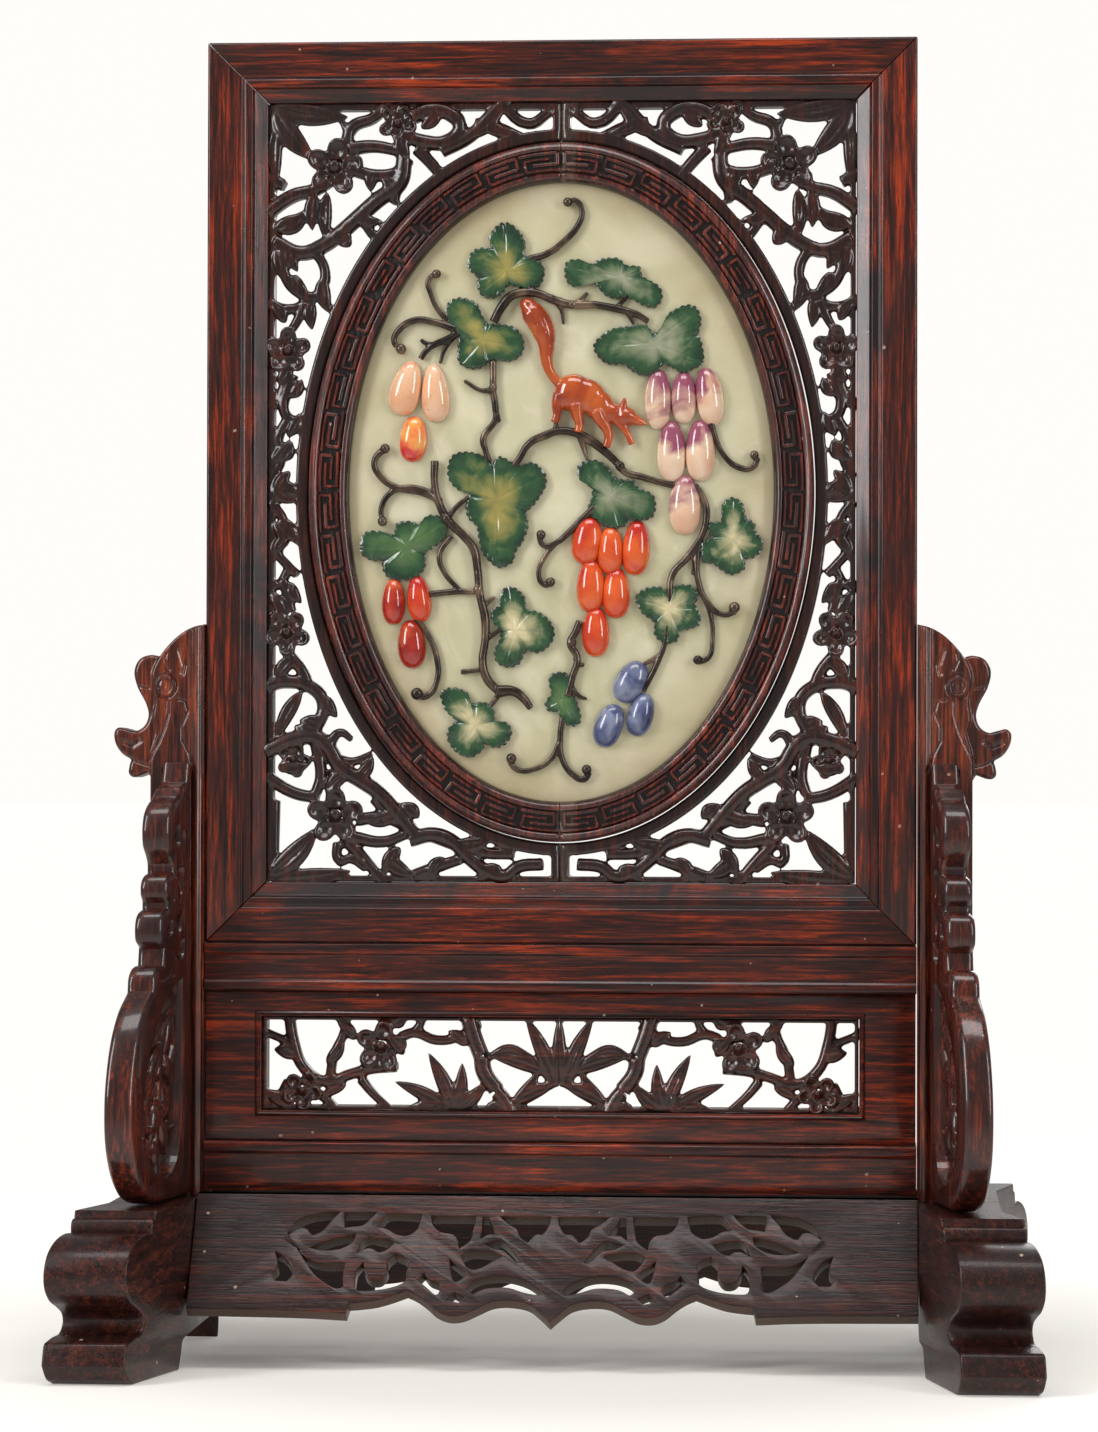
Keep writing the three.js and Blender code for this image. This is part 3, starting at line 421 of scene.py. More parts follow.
def square_rod(line, width, top, bottom, sway=0.0):
    """A rod of square section along a line of (x, z) that stands on the band, slightly uneven"""
    stations = []
    for i, place in enumerate(line):
        before, after = Vector(line[max(0, i - 1)]), Vector(line[min(len(line) - 1, i + 1)])
        run = (after - before).normalized()
        stations.append((*place, -run.y, run.x))
    half = width / 2
    section = [(-half, bottom), (-half * 0.9, top + 0.3), (-half * 0.5, top + sway), (half * 0.5, top + sway),
               (half * 0.9, top + 0.3), (half, bottom)]
    return run_moulding(section, stations)


chisel = random.Random(11)
ring_half = run_moulding(RING_SECTION, oval_stations(PLAQUE_HALF_X, PLAQUE_HALF_Z, -90, 90, 150))
fret_shares = even_shares(FRETS_IN_HALF * 100)
fret_rods = []
for fret in range(FRETS_IN_HALF):
    for hook in FRET_HOOKS:
        for (start, start_row), (stop, stop_row) in zip(hook, hook[1:]):
            steps = 8 if start_row == stop_row else 1
            line = []
            wobble = chisel.uniform(-0.012, 0.012)
            for step in range(steps + 1):
                share = start + (stop - start) * step / steps + wobble
                row = FRET_ROWS[start_row] + (FRET_ROWS[stop_row] - FRET_ROWS[start_row]) * step / steps
                at = fret_shares[max(0, min(len(fret_shares) - 1, round((fret + share) * 100)))]
                line.append(ring_place(at, row + chisel.uniform(-0.12, 0.12)))
            if start_row == stop_row or chisel.random() > 0.04:
                fret_rods.append(square_rod(line, FRET_WIDTH, -9.0, BAND_FLOOR + 0.2, chisel.uniform(-0.15, 0.2)))
ring_half = join_pieces([ring_half, *fret_rods])
bpy.ops.object.shade_smooth_by_angle(angle=math.radians(40))


def split_at_middle(piece):
    """Keeps what lies on the right of the seam and closes the cut"""
    bpy.context.view_layer.objects.active = piece
    piece.select_set(True)
    bpy.ops.object.mode_set(mode="EDIT")
    bpy.ops.mesh.select_all(action="SELECT")
    bpy.ops.mesh.bisect(plane_co=(SEAM * MM, 0, 0), plane_no=(1, 0, 0), use_fill=True, clear_inner=True)
    bpy.ops.object.mode_set(mode="OBJECT")


def mirrored_copy(piece, across=(1, 0, 0)):
    """The same piece on the other side of the middle, with a mesh of its own that faces outward"""
    twin = piece.copy()
    twin.data = piece.data.copy()
    bpy.context.collection.objects.link(twin)
    twin.data.transform(Matrix.Scale(-1, 4, across))
    twin.data.flip_normals()
    return twin


split_at_middle(ring_half)
# The sunk band's floor, the inner lip and all behind them are marked here and painted near-black: painted shade between
# the raised keys of the fret
hollow = ring_half.data.attributes.new("cut", "FLOAT", "POINT")
for vertex in ring_half.data.vertices:
    hollow.data[vertex.index].value = min(1.0, max(0.0, (vertex.co.y / MM - BAND_FLOOR + 0.5) / 0.4))
ring_twin = mirrored_copy(ring_half)
# The near-black colour marked on the ring is painted shade on the sunk band
ring_timber = timber_finish("ring_timber", "Z", (0.026, 0.009, 0.008), (0.085, 0.017, 0.012),
                            (0.30, 0.05, 0.024), blackness=0.45, scuffs_and_glints=0.9, relief_depth=0.3, coat=0.6,
                            sawn_or_shade_colour=(0.011, 0.0055, 0.005), mended=0.75)
finish_piece(ring_half, "oval_ring_right_carved", "ring_wood", ring_timber, "oval_ring_right")
finish_piece(ring_twin, "oval_ring_left_carved", "ring_wood", ring_timber, "oval_ring_left")


# Openwork: two pierced boards, carved in the round at the front and sawn straight down at the back.
# Gnarled branches with blossoms, buds and long leaves fill the corners and narrow to a thin tendril
# along each side. Each half mirrors the other.

OPENING_HALF_X = 120.9
OPENING_HALF_Z = 160.4
WORK_BACK = 3.9


def stem(points, width, taper=1.0, lift=0.0):
    """A branch through points of (x, z), its crown raised by lift; lifts keep crossings readable"""
    bpy.ops.curve.primitive_bezier_curve_add()
    rod = bpy.context.object
    spline = rod.data.splines[0]
    spline.bezier_points.add(len(points) - 2)
    for i, (knot, (x, z)) in enumerate(zip(spline.bezier_points, points)):
        knot.co = (x, -lift, z)
        knot.handle_left_type = knot.handle_right_type = "AUTO"
        knot.radius = 1 + (taper - 1) * i / (len(points) - 1)
    rod.data.dimensions = "3D"
    rod.data.bevel_depth = width / 2
    rod.data.bevel_resolution = 2
    rod.data.resolution_u = 5
    rod.data.use_fill_caps = True
    bpy.ops.object.convert(target="MESH")
    return rod


def leaf(stalk, tip, width, lift=0.0, curl=0.6):
    """A pointed leaf with a sunk midrib, from its stalk to its tip"""
    stalk, tip = Vector(stalk), Vector(tip)
    run = tip - stalk
    length = run.length
    bpy.ops.mesh.primitive_uv_sphere_add(segments=20, ring_count=14, radius=1)
    blade = bpy.context.object
    way = run.normalized()
    side = Vector((-way.y, way.x))
    for vertex in blade.data.vertices:
        across, thick, along = vertex.co
        t = (along + 1) / 2
        spread = math.sin(math.pi * t ** 0.8) ** 0.75 if 0 < t < 1 else 0
        ring = math.sqrt(max(1e-6, 1 - along * along))
        s = across / ring if ring > 0.01 else 0
        place = stalk + way * (t * length) + side * (s * spread * width / 2)
        place += side * (curl * width * 0.25 * math.sin(math.pi * t))
        crown = thick / ring if ring > 0.01 else 0
        height = crown * (0.5 + spread * 1.7)
        if crown < 0:
            height += 0.9 * spread * math.exp(-(s / 0.16) ** 2) - 0.35 * spread * abs(s)
        vertex.co = (place.x, height - lift, place.y)
    return blade


def petal(x, z, half_x, half_z, angle, lift, cup):
    bpy.ops.mesh.primitive_uv_sphere_add(segments=20, ring_count=14, radius=1)
    disc = bpy.context.object
    for vertex in disc.data.vertices:
        a, thick, b = vertex.co
        height = thick * 2.4
        if thick < 0:
            height += cup * max(0.0, 1 - 1.7 * (a * a + b * b))
        ax, bz = a * half_x, b * half_z
        height -= 1.3 * b
        vertex.co = (x + ax * math.cos(angle) - bz * math.sin(angle), height - lift,
                     z + ax * math.sin(angle) + bz * math.cos(angle))
    return disc


def blossom(x, z, radius, turn=0.0, lift=1.2):
    """Five cupped petals round a ball"""
    parts = [petal(x, z, radius * 0.24, radius * 0.24, 0, lift + 1.4, 0)]
    for i in range(5):
        angle = math.radians(turn + 72 * i)
        reach = radius * 0.62
        parts.append(petal(x - math.sin(angle) * reach, z + math.cos(angle) * reach, radius * 0.37, radius * 0.42,
                           angle, lift, 2.6))
    return parts


def slab(x0, x1, z0, z1, front, back):
    bpy.ops.mesh.primitive_cube_add(size=1, location=((x0 + x1) / 2, (front + back) / 2, (z0 + z1) / 2),
                                    scale=(x1 - x0, back - front, z1 - z0))
    piece = bpy.context.object
    bpy.ops.object.transform_apply(location=True, rotation=False, scale=True)
    return piece


def mark_sawn(piece, domain, facing=(0, 1, 0)):
    """Marks what faces sideways to the board, so that it can look sawn and not polished"""
    faces = piece.data.vertices if domain == "POINT" else piece.data.polygons
    sawn = piece.data.attributes.new("cut", "FLOAT", domain)
    shares = []
    for face in faces:
        edge_on = 1 - abs(face.normal.dot(Vector(facing)))
        shares.append(0.85 * min(1.0, max(0.0, (edge_on - 0.62) / 0.3)))
    sawn.data.foreach_set("value", shares)


def carve(parts, crown_y, back, rise, grain_size, keep, solid_parts=()):
    """Sinks the parts to the back of the board, joins them into one body and smooths the tool marks"""
    board = join_pieces(parts)
    for vertex in board.data.vertices:
        x, y, z = vertex.co
        depth = y * 5 if y > 0 else y
        vertex.co = (x * MM, min(crown_y + depth, back) * MM, (z + rise) * MM)
    for part in solid_parts:
        part.data.transform(Matrix.Scale(MM, 4))
        part.data.transform(Matrix.Translation((0, 0, rise * MM)))
    board = join_pieces([board, *solid_parts])
    apply_modifier(board, "REMESH", mode="VOXEL", voxel_size=grain_size * MM, adaptivity=0)
    apply_modifier(board, "SMOOTH", factor=0.5, iterations=2)
    apply_modifier(board, "DECIMATE", ratio=keep)
    bpy.ops.object.shade_smooth()
    return board


OPENWORK_STEMS = [
    # Top corner, from the frame down to the rim of the oval
    (5.4, 0.9, 0.3, [(65, 138), (67, 128), (76, 121), (84, 114), (92, 107), (99, 102), (108, 99), (119, 104)]),
    (4.6, 0.9, 0.6, [(122, 116), (111, 123), (103, 125), (96, 129)]),
    (4.0, 1.0, 0.0, [(115, 127), (122, 131)]),
    (3.8, 0.8, 0.2, [(83, 114), (78, 106)]),
    (3.4, 0.8, 0.4, [(68, 127), (69, 119)]),
    (4.6, 0.8, 0.8, [(88, 142), (78, 143), (67, 141)]),
    (4.4, 0.8, 0.2, [(88, 134), (77, 131), (67, 133), (63, 138)]),
    (4.4, 0.7, 0.2, [(89, 144), (87, 151), (78, 155), (71, 162)]),
    (3.0, 0.5, 0.6, [(88, 148), (92, 155)]),
    (5.0, 0.9, 0.5, [(62, 155), (54, 158), (46, 156), (42, 151), (47, 145), (58, 145), (66, 148)]),
    (4.2, 0.9, 0.2, [(60, 142), (55, 137), (49, 130)]),
    (4.6, 0.8, 0.7, [(50, 141), (38, 147), (29, 156), (22, 163)]),
    (4.0, 0.6, 0.3, [(36, 152), (27, 151), (17, 147)]),
    (4.0, 0.8, 0.3, [(26, 162), (14, 152), (5, 157)]),
    (3.8, 0.9, 0.6, [(116, 101), (114, 89), (109, 83), (102, 81), (98, 87), (100, 97), (106, 101)]),
    (3.8, 0.8, 0.3, [(123, 78), (111, 76), (104, 80)]),
    (3.6, 0.7, 0.7, [(106, 78), (110, 70), (114, 64)]),
    # The thin tendril down the side
    (3.6, 0.8, 0.4, [(113, 52), (115, 44), (117, 38)]),
    (3.8, 0.9, 0.6, [(111, 49), (114, 41), (115, 36), (113, 31), (108, 29)]),
    (3.0, 1.0, 0.0, [(122, 36), (115, 37)]),
    (3.4, 0.8, 0.3, [(113, 31), (117, 23), (116, 13), (120, 6)]),
    (3.4, 0.9, 0.5, [(120, -4), (115, -11), (114, -19), (117, -24), (113, -30), (109, -34)]),
    (3.0, 1.0, 0.0, [(122, -39), (117, -38), (113, -32)]),
    (3.6, 0.8, 0.6, [(115, -36), (111, -49)]),
    # Bottom corner, a stouter trunk with loops
    (4.0, 0.9, 0.5, [(113, -66), (106, -75), (104, -82)]),
    (4.6, 0.9, 0.3, [(122, -80), (114, -78), (102, -81), (98, -87), (100, -95), (105, -101)]),
    (5.4, 0.9, 0.7, [(122, -107), (111, -102), (101, -101), (96, -105), (91, -113), (82, -119), (76, -123),
                     (69, -130), (60, -141)]),
    (3.6, 0.6, 0.8, [(95, -103), (91, -99), (86, -102)]),
    (3.4, 0.7, 0.2, [(92, -110), (86, -111), (78, -108)]),
    (4.0, 0.9, 0.3, [(101, -104), (99, -117), (101, -124)]),
    (3.2, 0.7, 0.5, [(94, -114), (92, -125)]),
    (4.2, 0.9, 0.2, [(122, -117), (110, -124), (100, -126)]),
    (3.2, 0.8, 0.1, [(118, -127), (118, -150)]),
    (4.2, 0.8, 0.5, [(84, -135), (73, -134), (63, -138)]),
    (3.6, 0.7, 0.3, [(77, -126), (70, -135)]),
    (4.2, 0.8, 0.6, [(86, -142), (73, -144), (64, -141)]),
    (4.2, 0.8, 0.2, [(88, -144), (80, -152), (72, -162)]),
    (3.4, 0.8, 0.5, [(92, -144), (91, -152), (87, -151), (80, -155)]),
    (5.0, 0.8, 0.7, [(62, -143), (52, -141), (44, -144), (38, -150), (30, -156), (23, -158), (17, -154), (7, -153)]),
    (4.4, 0.8, 0.2, [(60, -158), (50, -154), (41, -151)]),
    (4.4, 0.8, 0.2, [(54, -141), (33, -148), (19, -149)]),
]
OPENWORK_LEAVES = [
    (7.5, 0.4, [(120, 160), (88, 155)]), (7.5, 0.6, [(119, 158), (102, 137)]), (5.5, 0.2, [(118, 151), (118, 127)]),
    (5.0, 0.9, [(102, 124), (103, 108)]), (5.0, 0.5, [(97, 124), (97, 103)]), (4.5, 0.6, [(77, 133), (79, 124)]),
    (5.0, 1.2, [(67, 148), (63, 137)]), (5.0, 0.8, [(38, 146), (23, 160)]), (4.5, 0.9, [(34, 153), (19, 147)]),
    (5.5, 0.9, [(116, 107), (105, 117)]), (4.5, 0.7, [(92, 102), (87, 107)]), (4.5, 0.5, [(118, 101), (113, 86)]),
    (5.5, 0.6, [(99, 89), (96, 74)]), (4.5, 0.9, [(103, 79), (103, 67)]), (5.0, 0.4, [(120, 3), (109, -4)]),
    (4.5, 0.8, [(116, 13), (111, 21)]), (4.5, 0.8, [(114, -20), (119, -12)]), (5.0, 0.7, [(107, -82), (118, -103)]),
    (4.5, 0.8, [(97, -84), (92, -93)]), (5.0, 0.9, [(99, -97), (108, -94)]), (7.5, 0.5, [(120, -158), (100, -138)]),
    (7.5, 0.4, [(119, -160), (86, -156)]), (5.0, 0.9, [(80, -136), (64, -131)]), (5.5, 0.9, [(72, -150), (60, -158)]),
    (5.0, 1.0, [(66, -146), (73, -158)]), (5.0, 0.9, [(44, -145), (28, -143)]), (5.0, 0.6, [(104, -102), (110, -96)]),
    (6.5, 0.9, [(119, 109), (105, 115)]), (4.5, 0.8, [(113, 103), (109, 91)]), (4.5, 0.6, [(111, 90), (104, 80)]),
    (4.5, 0.8, [(58, 150), (49, 159)]), (4.5, 0.6, [(74, 131), (66, 124)]), (4.0, 0.5, [(84, 113), (74, 112)]),
    (4.5, 0.8, [(117, 45), (112, 54)]), (4.0, 0.6, [(112, 39), (107, 47)]), (4.0, 0.8, [(113, 23), (108, 33)]),
    (4.0, 0.6, [(119, 13), (112, 22)]), (4.0, 0.7, [(112, 9), (119, -2)]), (4.0, 0.8, [(109, -1), (117, 4)]),
    (4.0, 0.6, [(113, -11), (108, -22)]), (4.0, 0.8, [(119, -25), (113, -15)]), (4.0, 0.7, [(112, -37), (107, -46)]),
    (4.0, 0.5, [(119, -41), (113, -51)]), (5.0, 0.8, [(110, -68), (118, -78)]), (4.5, 0.7, [(84, -118), (77, -109)]),
    (5.0, 0.8, [(88, -116), (97, -124)]), (4.5, 0.8, [(58, -134), (66, -128)]), (5.0, 0.6, [(24, -154), (35, -160)]),
    (5.0, 0.9, [(116, -112), (104, -113)]), (5.0, 0.7, [(48, -150), (54, -160)]), (4.5, 0.8, [(114, 70), (121, 80)]),
]
OPENWORK_BLOSSOMS = [(93.8, 134.3, 11.8, 8), (67.7, 152, 8.0, 30), (113, 58.6, 9.6, 0), (113, -58, 9.6, 36),
                     (110, -110.5, 7.2, 20), (92.8, -133.4, 11.6, 0)]

openwork_parts = []
for width, taper, lift, points in OPENWORK_STEMS:
    openwork_parts.append(stem(points, width * 1.32, taper, lift))
for width, lift, (stalk, tip) in OPENWORK_LEAVES:
    openwork_parts.append(leaf(stalk, tip, width * 1.3, lift + 0.5))
for x, z, radius, turn in OPENWORK_BLOSSOMS:
    openwork_parts += blossom(x, z, radius, turn)

RIM_SECTION = [(17.1, -4.6), (17.8, -5.3), (21.6, -5.3), (22.3, -4.6), (22.3, WORK_BACK), (17.1, WORK_BACK)]
rim_stations = oval_stations(PLAQUE_HALF_X, PLAQUE_HALF_Z, -94, 94, 120)
rim = run_moulding(RIM_SECTION, rim_stations)
rim.data.transform(Matrix.Scale(1 / MM, 4))
rim.data.transform(Matrix.Translation((0, 0, -FRAME_CENTRE_Z)))
openwork_solids = [
    rim,
    slab(-2, OPENING_HALF_X, OPENING_HALF_Z - 2.4, OPENING_HALF_Z, -5, WORK_BACK),
    slab(-2, OPENING_HALF_X, -OPENING_HALF_Z, -OPENING_HALF_Z + 2.4, -5, WORK_BACK),
    slab(OPENING_HALF_X - 2.2, OPENING_HALF_X, -OPENING_HALF_Z, OPENING_HALF_Z, -5, WORK_BACK),
    slab(-2, 3.6, 146, OPENING_HALF_Z, -5.4, WORK_BACK),
    slab(-2, 3.6, -OPENING_HALF_Z, -146, -5.4, WORK_BACK),
]
openwork_right = carve(openwork_parts, -3.2, WORK_BACK, FRAME_CENTRE_Z, 0.62, 0.4, openwork_solids)
split_at_middle(openwork_right)
mark_sawn(openwork_right, "POINT")
openwork_left = mirrored_copy(openwork_right)
carved_timber = timber_finish("carved_timber", "Z", (0.008, 0.0035, 0.0028), (0.026, 0.0065, 0.004),
                              (0.085, 0.016, 0.007), blackness=0.6, scuffs_and_glints=0.25, coat=0.6, sawn_or_shade_colour=(0.10, 0.052, 0.028),
                              mended=0.4)
finish_piece(openwork_right, "openwork_right_carved", "carved_wood", carved_timber, "openwork_right")
finish_piece(openwork_left, "openwork_left_carved", "carved_wood", carved_timber, "openwork_left")

# Plaque: an oval slab of pale celadon jade, cloudy and a little translucent, with painted shade in tan
# towards the edge where the ring holds it.

def stone_finish(name, roughness, subsurface, radius_mm=4.0, coat=0.25):
    """A polished stone; returns the material, its tree, its Object coordinates and its shader"""
    material = bpy.data.materials.new(name)
    material.use_nodes = True
    tree = material.node_tree
    shader = tree.nodes["Principled BSDF"]
    shader.inputs["Roughness"].default_value = roughness
    shader.inputs["Subsurface Weight"].default_value = subsurface
    shader.inputs["Subsurface Radius"].default_value = (1, 0.8, 0.6)
    shader.inputs["Subsurface Scale"].default_value = radius_mm * MM
    shader.inputs["Coat Weight"].default_value = coat
    shader.inputs["Coat Roughness"].default_value = 0.08
    return material, tree, add_node(tree, "TexCoord").outputs["Object"], shader


bpy.ops.mesh.primitive_cylinder_add(vertices=160, radius=1, depth=1, end_fill_type="NGON")
plaque = bpy.context.object
for vertex in plaque.data.vertices:
    x, z, y = vertex.co
    vertex.co = (x * (PLAQUE_HALF_X + 3.7) * MM, (PLAQUE_FRONT + 0.3 + (0 if y < 0 else 6)) * MM,
                 (z * (PLAQUE_HALF_Z + 3.7) + FRAME_CENTRE_Z) * MM)
clean_mesh(plaque)
apply_modifier(plaque, "BEVEL", width=0.5 * MM, segments=3, limit_method="ANGLE")
bpy.ops.object.shade_smooth_by_angle(angle=math.radians(40))

jade, jade_tree, jade_place, jade_shader = stone_finish("pale_jade", 0.16, 0.25, 6.0, 0.4)
jade_cloud = add_node(jade_tree, "TexNoise", {"Vector": jade_place, "Scale": 17.0, "Detail": 5.0,
                                              "Roughness": 0.55, "Distortion": 1.4})
jade_body = add_ramp(jade_tree, jade_cloud.outputs["Fac"], (0.3, (0.52, 0.485, 0.30)), (0.5, (0.62, 0.58, 0.39)),
                     (0.68, (0.73, 0.68, 0.50)))
jade_vein = add_node(jade_tree, "TexNoise", {"Vector": jade_place, "Scale": 30.0, "Detail": 7.0,
                                             "Roughness": 0.7, "Distortion": 2.6})
jade_vein_mask = add_ramp(jade_tree, jade_vein.outputs["Fac"], (0.56, BLACK), (0.7, (0.45, 0.45, 0.45)))
jade_light = add_node(jade_tree, "Mix", {"Factor": jade_vein_mask, "A": jade_body, "B": (0.80, 0.72, 0.58, 1)},
                      data_type="RGBA")
jade_oval = add_node(jade_tree, "Mapping", {"Vector": jade_place,
                                            "Location": (0, 0, -FRAME_CENTRE_Z / PLAQUE_HALF_Z),
                                            "Scale": (1000 / PLAQUE_HALF_X, 0, 1000 / PLAQUE_HALF_Z)})
jade_reach = add_node(jade_tree, "VectorMath", {0: jade_oval.outputs["Vector"]}, operation="LENGTH")
# Painted shade: a tan band, broken up by noise, darkens the jade towards the oval's edge, where the ring's inner wall
# meets it
edge_shade_cloud = add_node(jade_tree, "TexNoise", {"Vector": jade_place, "Scale": 24.0, "Detail": 4.0})
edge_shade_reach = add_node(jade_tree, "Math", {0: edge_shade_cloud.outputs["Fac"], 1: 0.3,
                                           2: jade_reach.outputs["Value"]}, operation="MULTIPLY_ADD")
edge_shade_half = add_node(jade_tree, "Math", {0: edge_shade_reach.outputs[0], 1: 0.5}, operation="MULTIPLY")
painted_edge_shade_mask = add_ramp(jade_tree, edge_shade_half.outputs[0], (0.42, BLACK), (0.54, (0.26, 0.26, 0.26)),
                      (0.6, (0.75, 0.75, 0.75)))
jade_edge_shaded = add_node(jade_tree, "Mix", {"Factor": painted_edge_shade_mask, "A": jade_light.outputs["Result"],
                                           "B": (0.42, 0.31, 0.16, 1)}, data_type="RGBA")
speck = add_node(jade_tree, "TexVoronoi", {"Vector": jade_place, "Scale": 48.0, "Randomness": 1.0})
speck_pick = add_node(jade_tree, "SeparateColor", {"Color": speck.outputs["Color"]})
speck_rare = add_ramp(jade_tree, speck_pick.outputs["Red"], (0.93, BLACK), (0.94, WHITE))
speck_dot = add_ramp(jade_tree, speck.outputs["Distance"], (0.035, WHITE), (0.06, BLACK))
speck_mask = add_node(jade_tree, "Math", {0: speck_rare, 1: speck_dot}, operation="MULTIPLY")
jade_specked = add_node(jade_tree, "Mix", {"Factor": speck_mask.outputs[0], "A": jade_edge_shaded.outputs["Result"],
                                           "B": (0.12, 0.07, 0.03, 1)}, data_type="RGBA")
jade_tree.links.new(jade_specked.outputs["Result"], jade_shader.inputs["Base Color"])
finish_piece(plaque, "jade_plaque_polished", "jade", jade, "jade_plaque")


# Vines: thin stems of dark patinated metal that lie on the jade, with knots where they fork and a
# little ball at the end of each tendril. Each is a list of stems, then of balls as (x, z, radius),
# measured from the middle of the plaque.

VINES = {
    "vine_top_tendril": (
        [(1.5, 0.9, [(-13, 96), (-6, 98), (1, 103), (7, 110), (8.5, 116), (6, 120), (2, 119.5)])],
        [(2.6, 119.2, 2.0)]),
    "vine_left_tendrils": (
        [(1.0, 1.1, [(-43, 68), (-50, 74), (-54, 82), (-55, 87), (-52, 90.5)]),
         (1.6, 1.3, [(-43, 67), (-52, 70), (-60, 71), (-67, 67), (-69, 62), (-67, 59.5)]),
         (1.5, 1.2, [(-42, 66), (-47, 63), (-52, 61), (-56, 58), (-58, 55)]),
         (1.1, 0.9, [(-52, 61), (-56, 61.5), (-58, 63)]),
         (1.0, 0.8, [(-44, 64), (-48, 59), (-50, 53)])],
        [(-51.4, 90, 1.9), (-66, 59, 2.3)]),
    "vine_upper_branch": (
        [(1.9, 1.6, [(-28, 70), (-24, 77), (-20, 81), (-11, 82), (-3, 79), (5, 77), (14, 77)]),
         (1.7, 1.1, [(14, 77), (24, 75), (31, 73), (36, 70)]), (1.3, 1.0, [(-11, 82), (-14, 87)]),
         (1.3, 0.7, [(-3, 79), (0, 75), (1, 69)]), (1.4, 0.8, [(5, 77), (8, 79), (11, 82)]),
         (1.2, 0.7, [(22, 75), (25, 78), (28, 81)]), (1.1, 0.7, [(27, 74), (30, 69)])],
        [(4.5, 77, 1.9), (-4, 79.5, 1.9)]),
    "vine_middle_stem": (
        [(1.5, 1.3, [(-28, 54), (-28, 48), (-28, 42), (-27, 35), (-27, 30), (-32, 22), (-31, 17), (-29.5, 12.5)]),
         (1.3, 0.8, [(-28, 42), (-33, 42), (-40, 46)]), (1.2, 0.9, [(-27, 31), (-25, 29)])],
        [(-28, 43, 1.8), (-26.5, 31, 1.7)]),
    "vine_squirrel_branch": (
        [(1.5, 1.8, [(-19.5, 10.5), (-17, 14), (-13, 20), (-7, 23), (-1, 25), (7, 24), (14, 20)]),
         (1.8, 1.2, [(14, 20), (20, 15), (24, 11), (26, 8.5), (34, 6), (44, 3), (54, 1)]),
         (1.2, 0.7, [(8, 22), (10, 16), (11, 13)]), (1.3, 1.0, [(-2, 25), (-2, 29)]),
         (1.3, 1.5, [(55, 3), (59, -3), (60, -10), (58, -18), (52, -27), (46, -34), (45, -46)]),
         (1.1, 0.7, [(54, -24), (55, -30), (54, -34)]),
         (1.2, 1.2, [(58, -18), (56, -28), (57, -38), (61, -46), (67, -50.5), (72, -49)]),
         (1.0, 1.1, [(59, -43), (62, -52), (62.5, -61), (61, -68), (57, -70)])],
        [(71.5, -47.5, 2.4), (56.5, -69, 2.0), (24.5, 10.5, 2.1)]),
    "vine_right_tendril": (
        [(1.2, 1.3, [(61, 32), (63, 24), (67, 15), (73, 10), (79, 10), (81, 14)])], [(79.5, 15, 1.9)]),
    "vine_left_stem": (
        [(1.6, 1.8, [(-52, 13), (-52, 3), (-50, -5), (-46, -12), (-40, -18), (-36, -23), (-34, -33)]),
         (1.8, 1.7, [(-34, -33), (-33, -43), (-31, -52), (-31, -61), (-32, -70), (-30, -77), (-24, -83)]),
         (2.5, 1.4, [(-26, -82), (-19, -82), (-15, -85), (-12, -89)]),
         (1.4, 1.4, [(-49, -4), (-58, 0), (-68, 2), (-75, 7), (-77, 13), (-73, 18)]),
         (1.3, 1.2, [(-54, 0), (-62, 2), (-70, 0), (-74, -6), (-74, -11)]),
         (1.2, 0.8, [(-46, -10), (-42, -5), (-38, -2)]), (1.2, 1.0, [(-45, -18), (-50, -26), (-48, -33), (-42, -40)]),
         (1.3, 1.2, [(-54, -42), (-44, -41), (-34, -41)]), (1.1, 0.8, [(-33, -48), (-27, -43)]),
         (1.1, 0.8, [(-31, -61), (-24, -56)]), (1.1, 0.9, [(-41, -74), (-31, -73)]),
         (1.2, 0.8, [(-25, -83), (-31, -91)])],
        [(-72.5, 18, 2.1), (-73.5, -12, 2.1), (-47, -11, 2.3), (-34, -40, 2.0)]),
    "vine_low_tendril": (
        [(1.2, 1.3, [(-61, -50), (-55, -58), (-51, -68), (-51, -78), (-55, -84), (-59, -84)])],
        [(-59, -83, 2.6)]),
    "vine_fruit_tendrils": (
        [(1.4, 1.1, [(14, -6), (8, -12), (3, -17), (-2, -21), (-7, -22), (-9, -18)]),
         (1.0, 1.1, [(-1, -20), (-6, -26), (-9, -33), (-7, -38), (-4, -38)])],
        [(-8, -17.5, 2.0), (-4, -37, 2.0)]),
    "vine_fruit_stem": (
        [(1.4, 1.6, [(8, -53), (6, -58), (4, -62), (7, -68), (5, -76), (3, -84)]),
         (1.1, 0.8, [(6, -68), (8, -71), (10, -71)]), (1.1, 0.7, [(4, -79), (8, -84), (11, -85)])],
        [(5, -62, 1.7)]),
    "vine_bottom_tendrils": (
        [(1.2, 1.3, [(1, -92), (0, -102), (1, -110), (5, -116), (10, -118), (12, -115)]),
         (1.1, 1.3, [(0, -102), (-4, -110), (-11, -114), (-18, -114), (-21, -110)])],
        [(11, -114, 2.1), (-20, -109.5, 2.2)]),
    "vine_blue_stem": (
        [(1.2, 1.2, [(44, -53), (43, -62), (40, -70), (34, -82)]), (1.1, 0.9, [(41, -67), (34, -71)])], []),
}


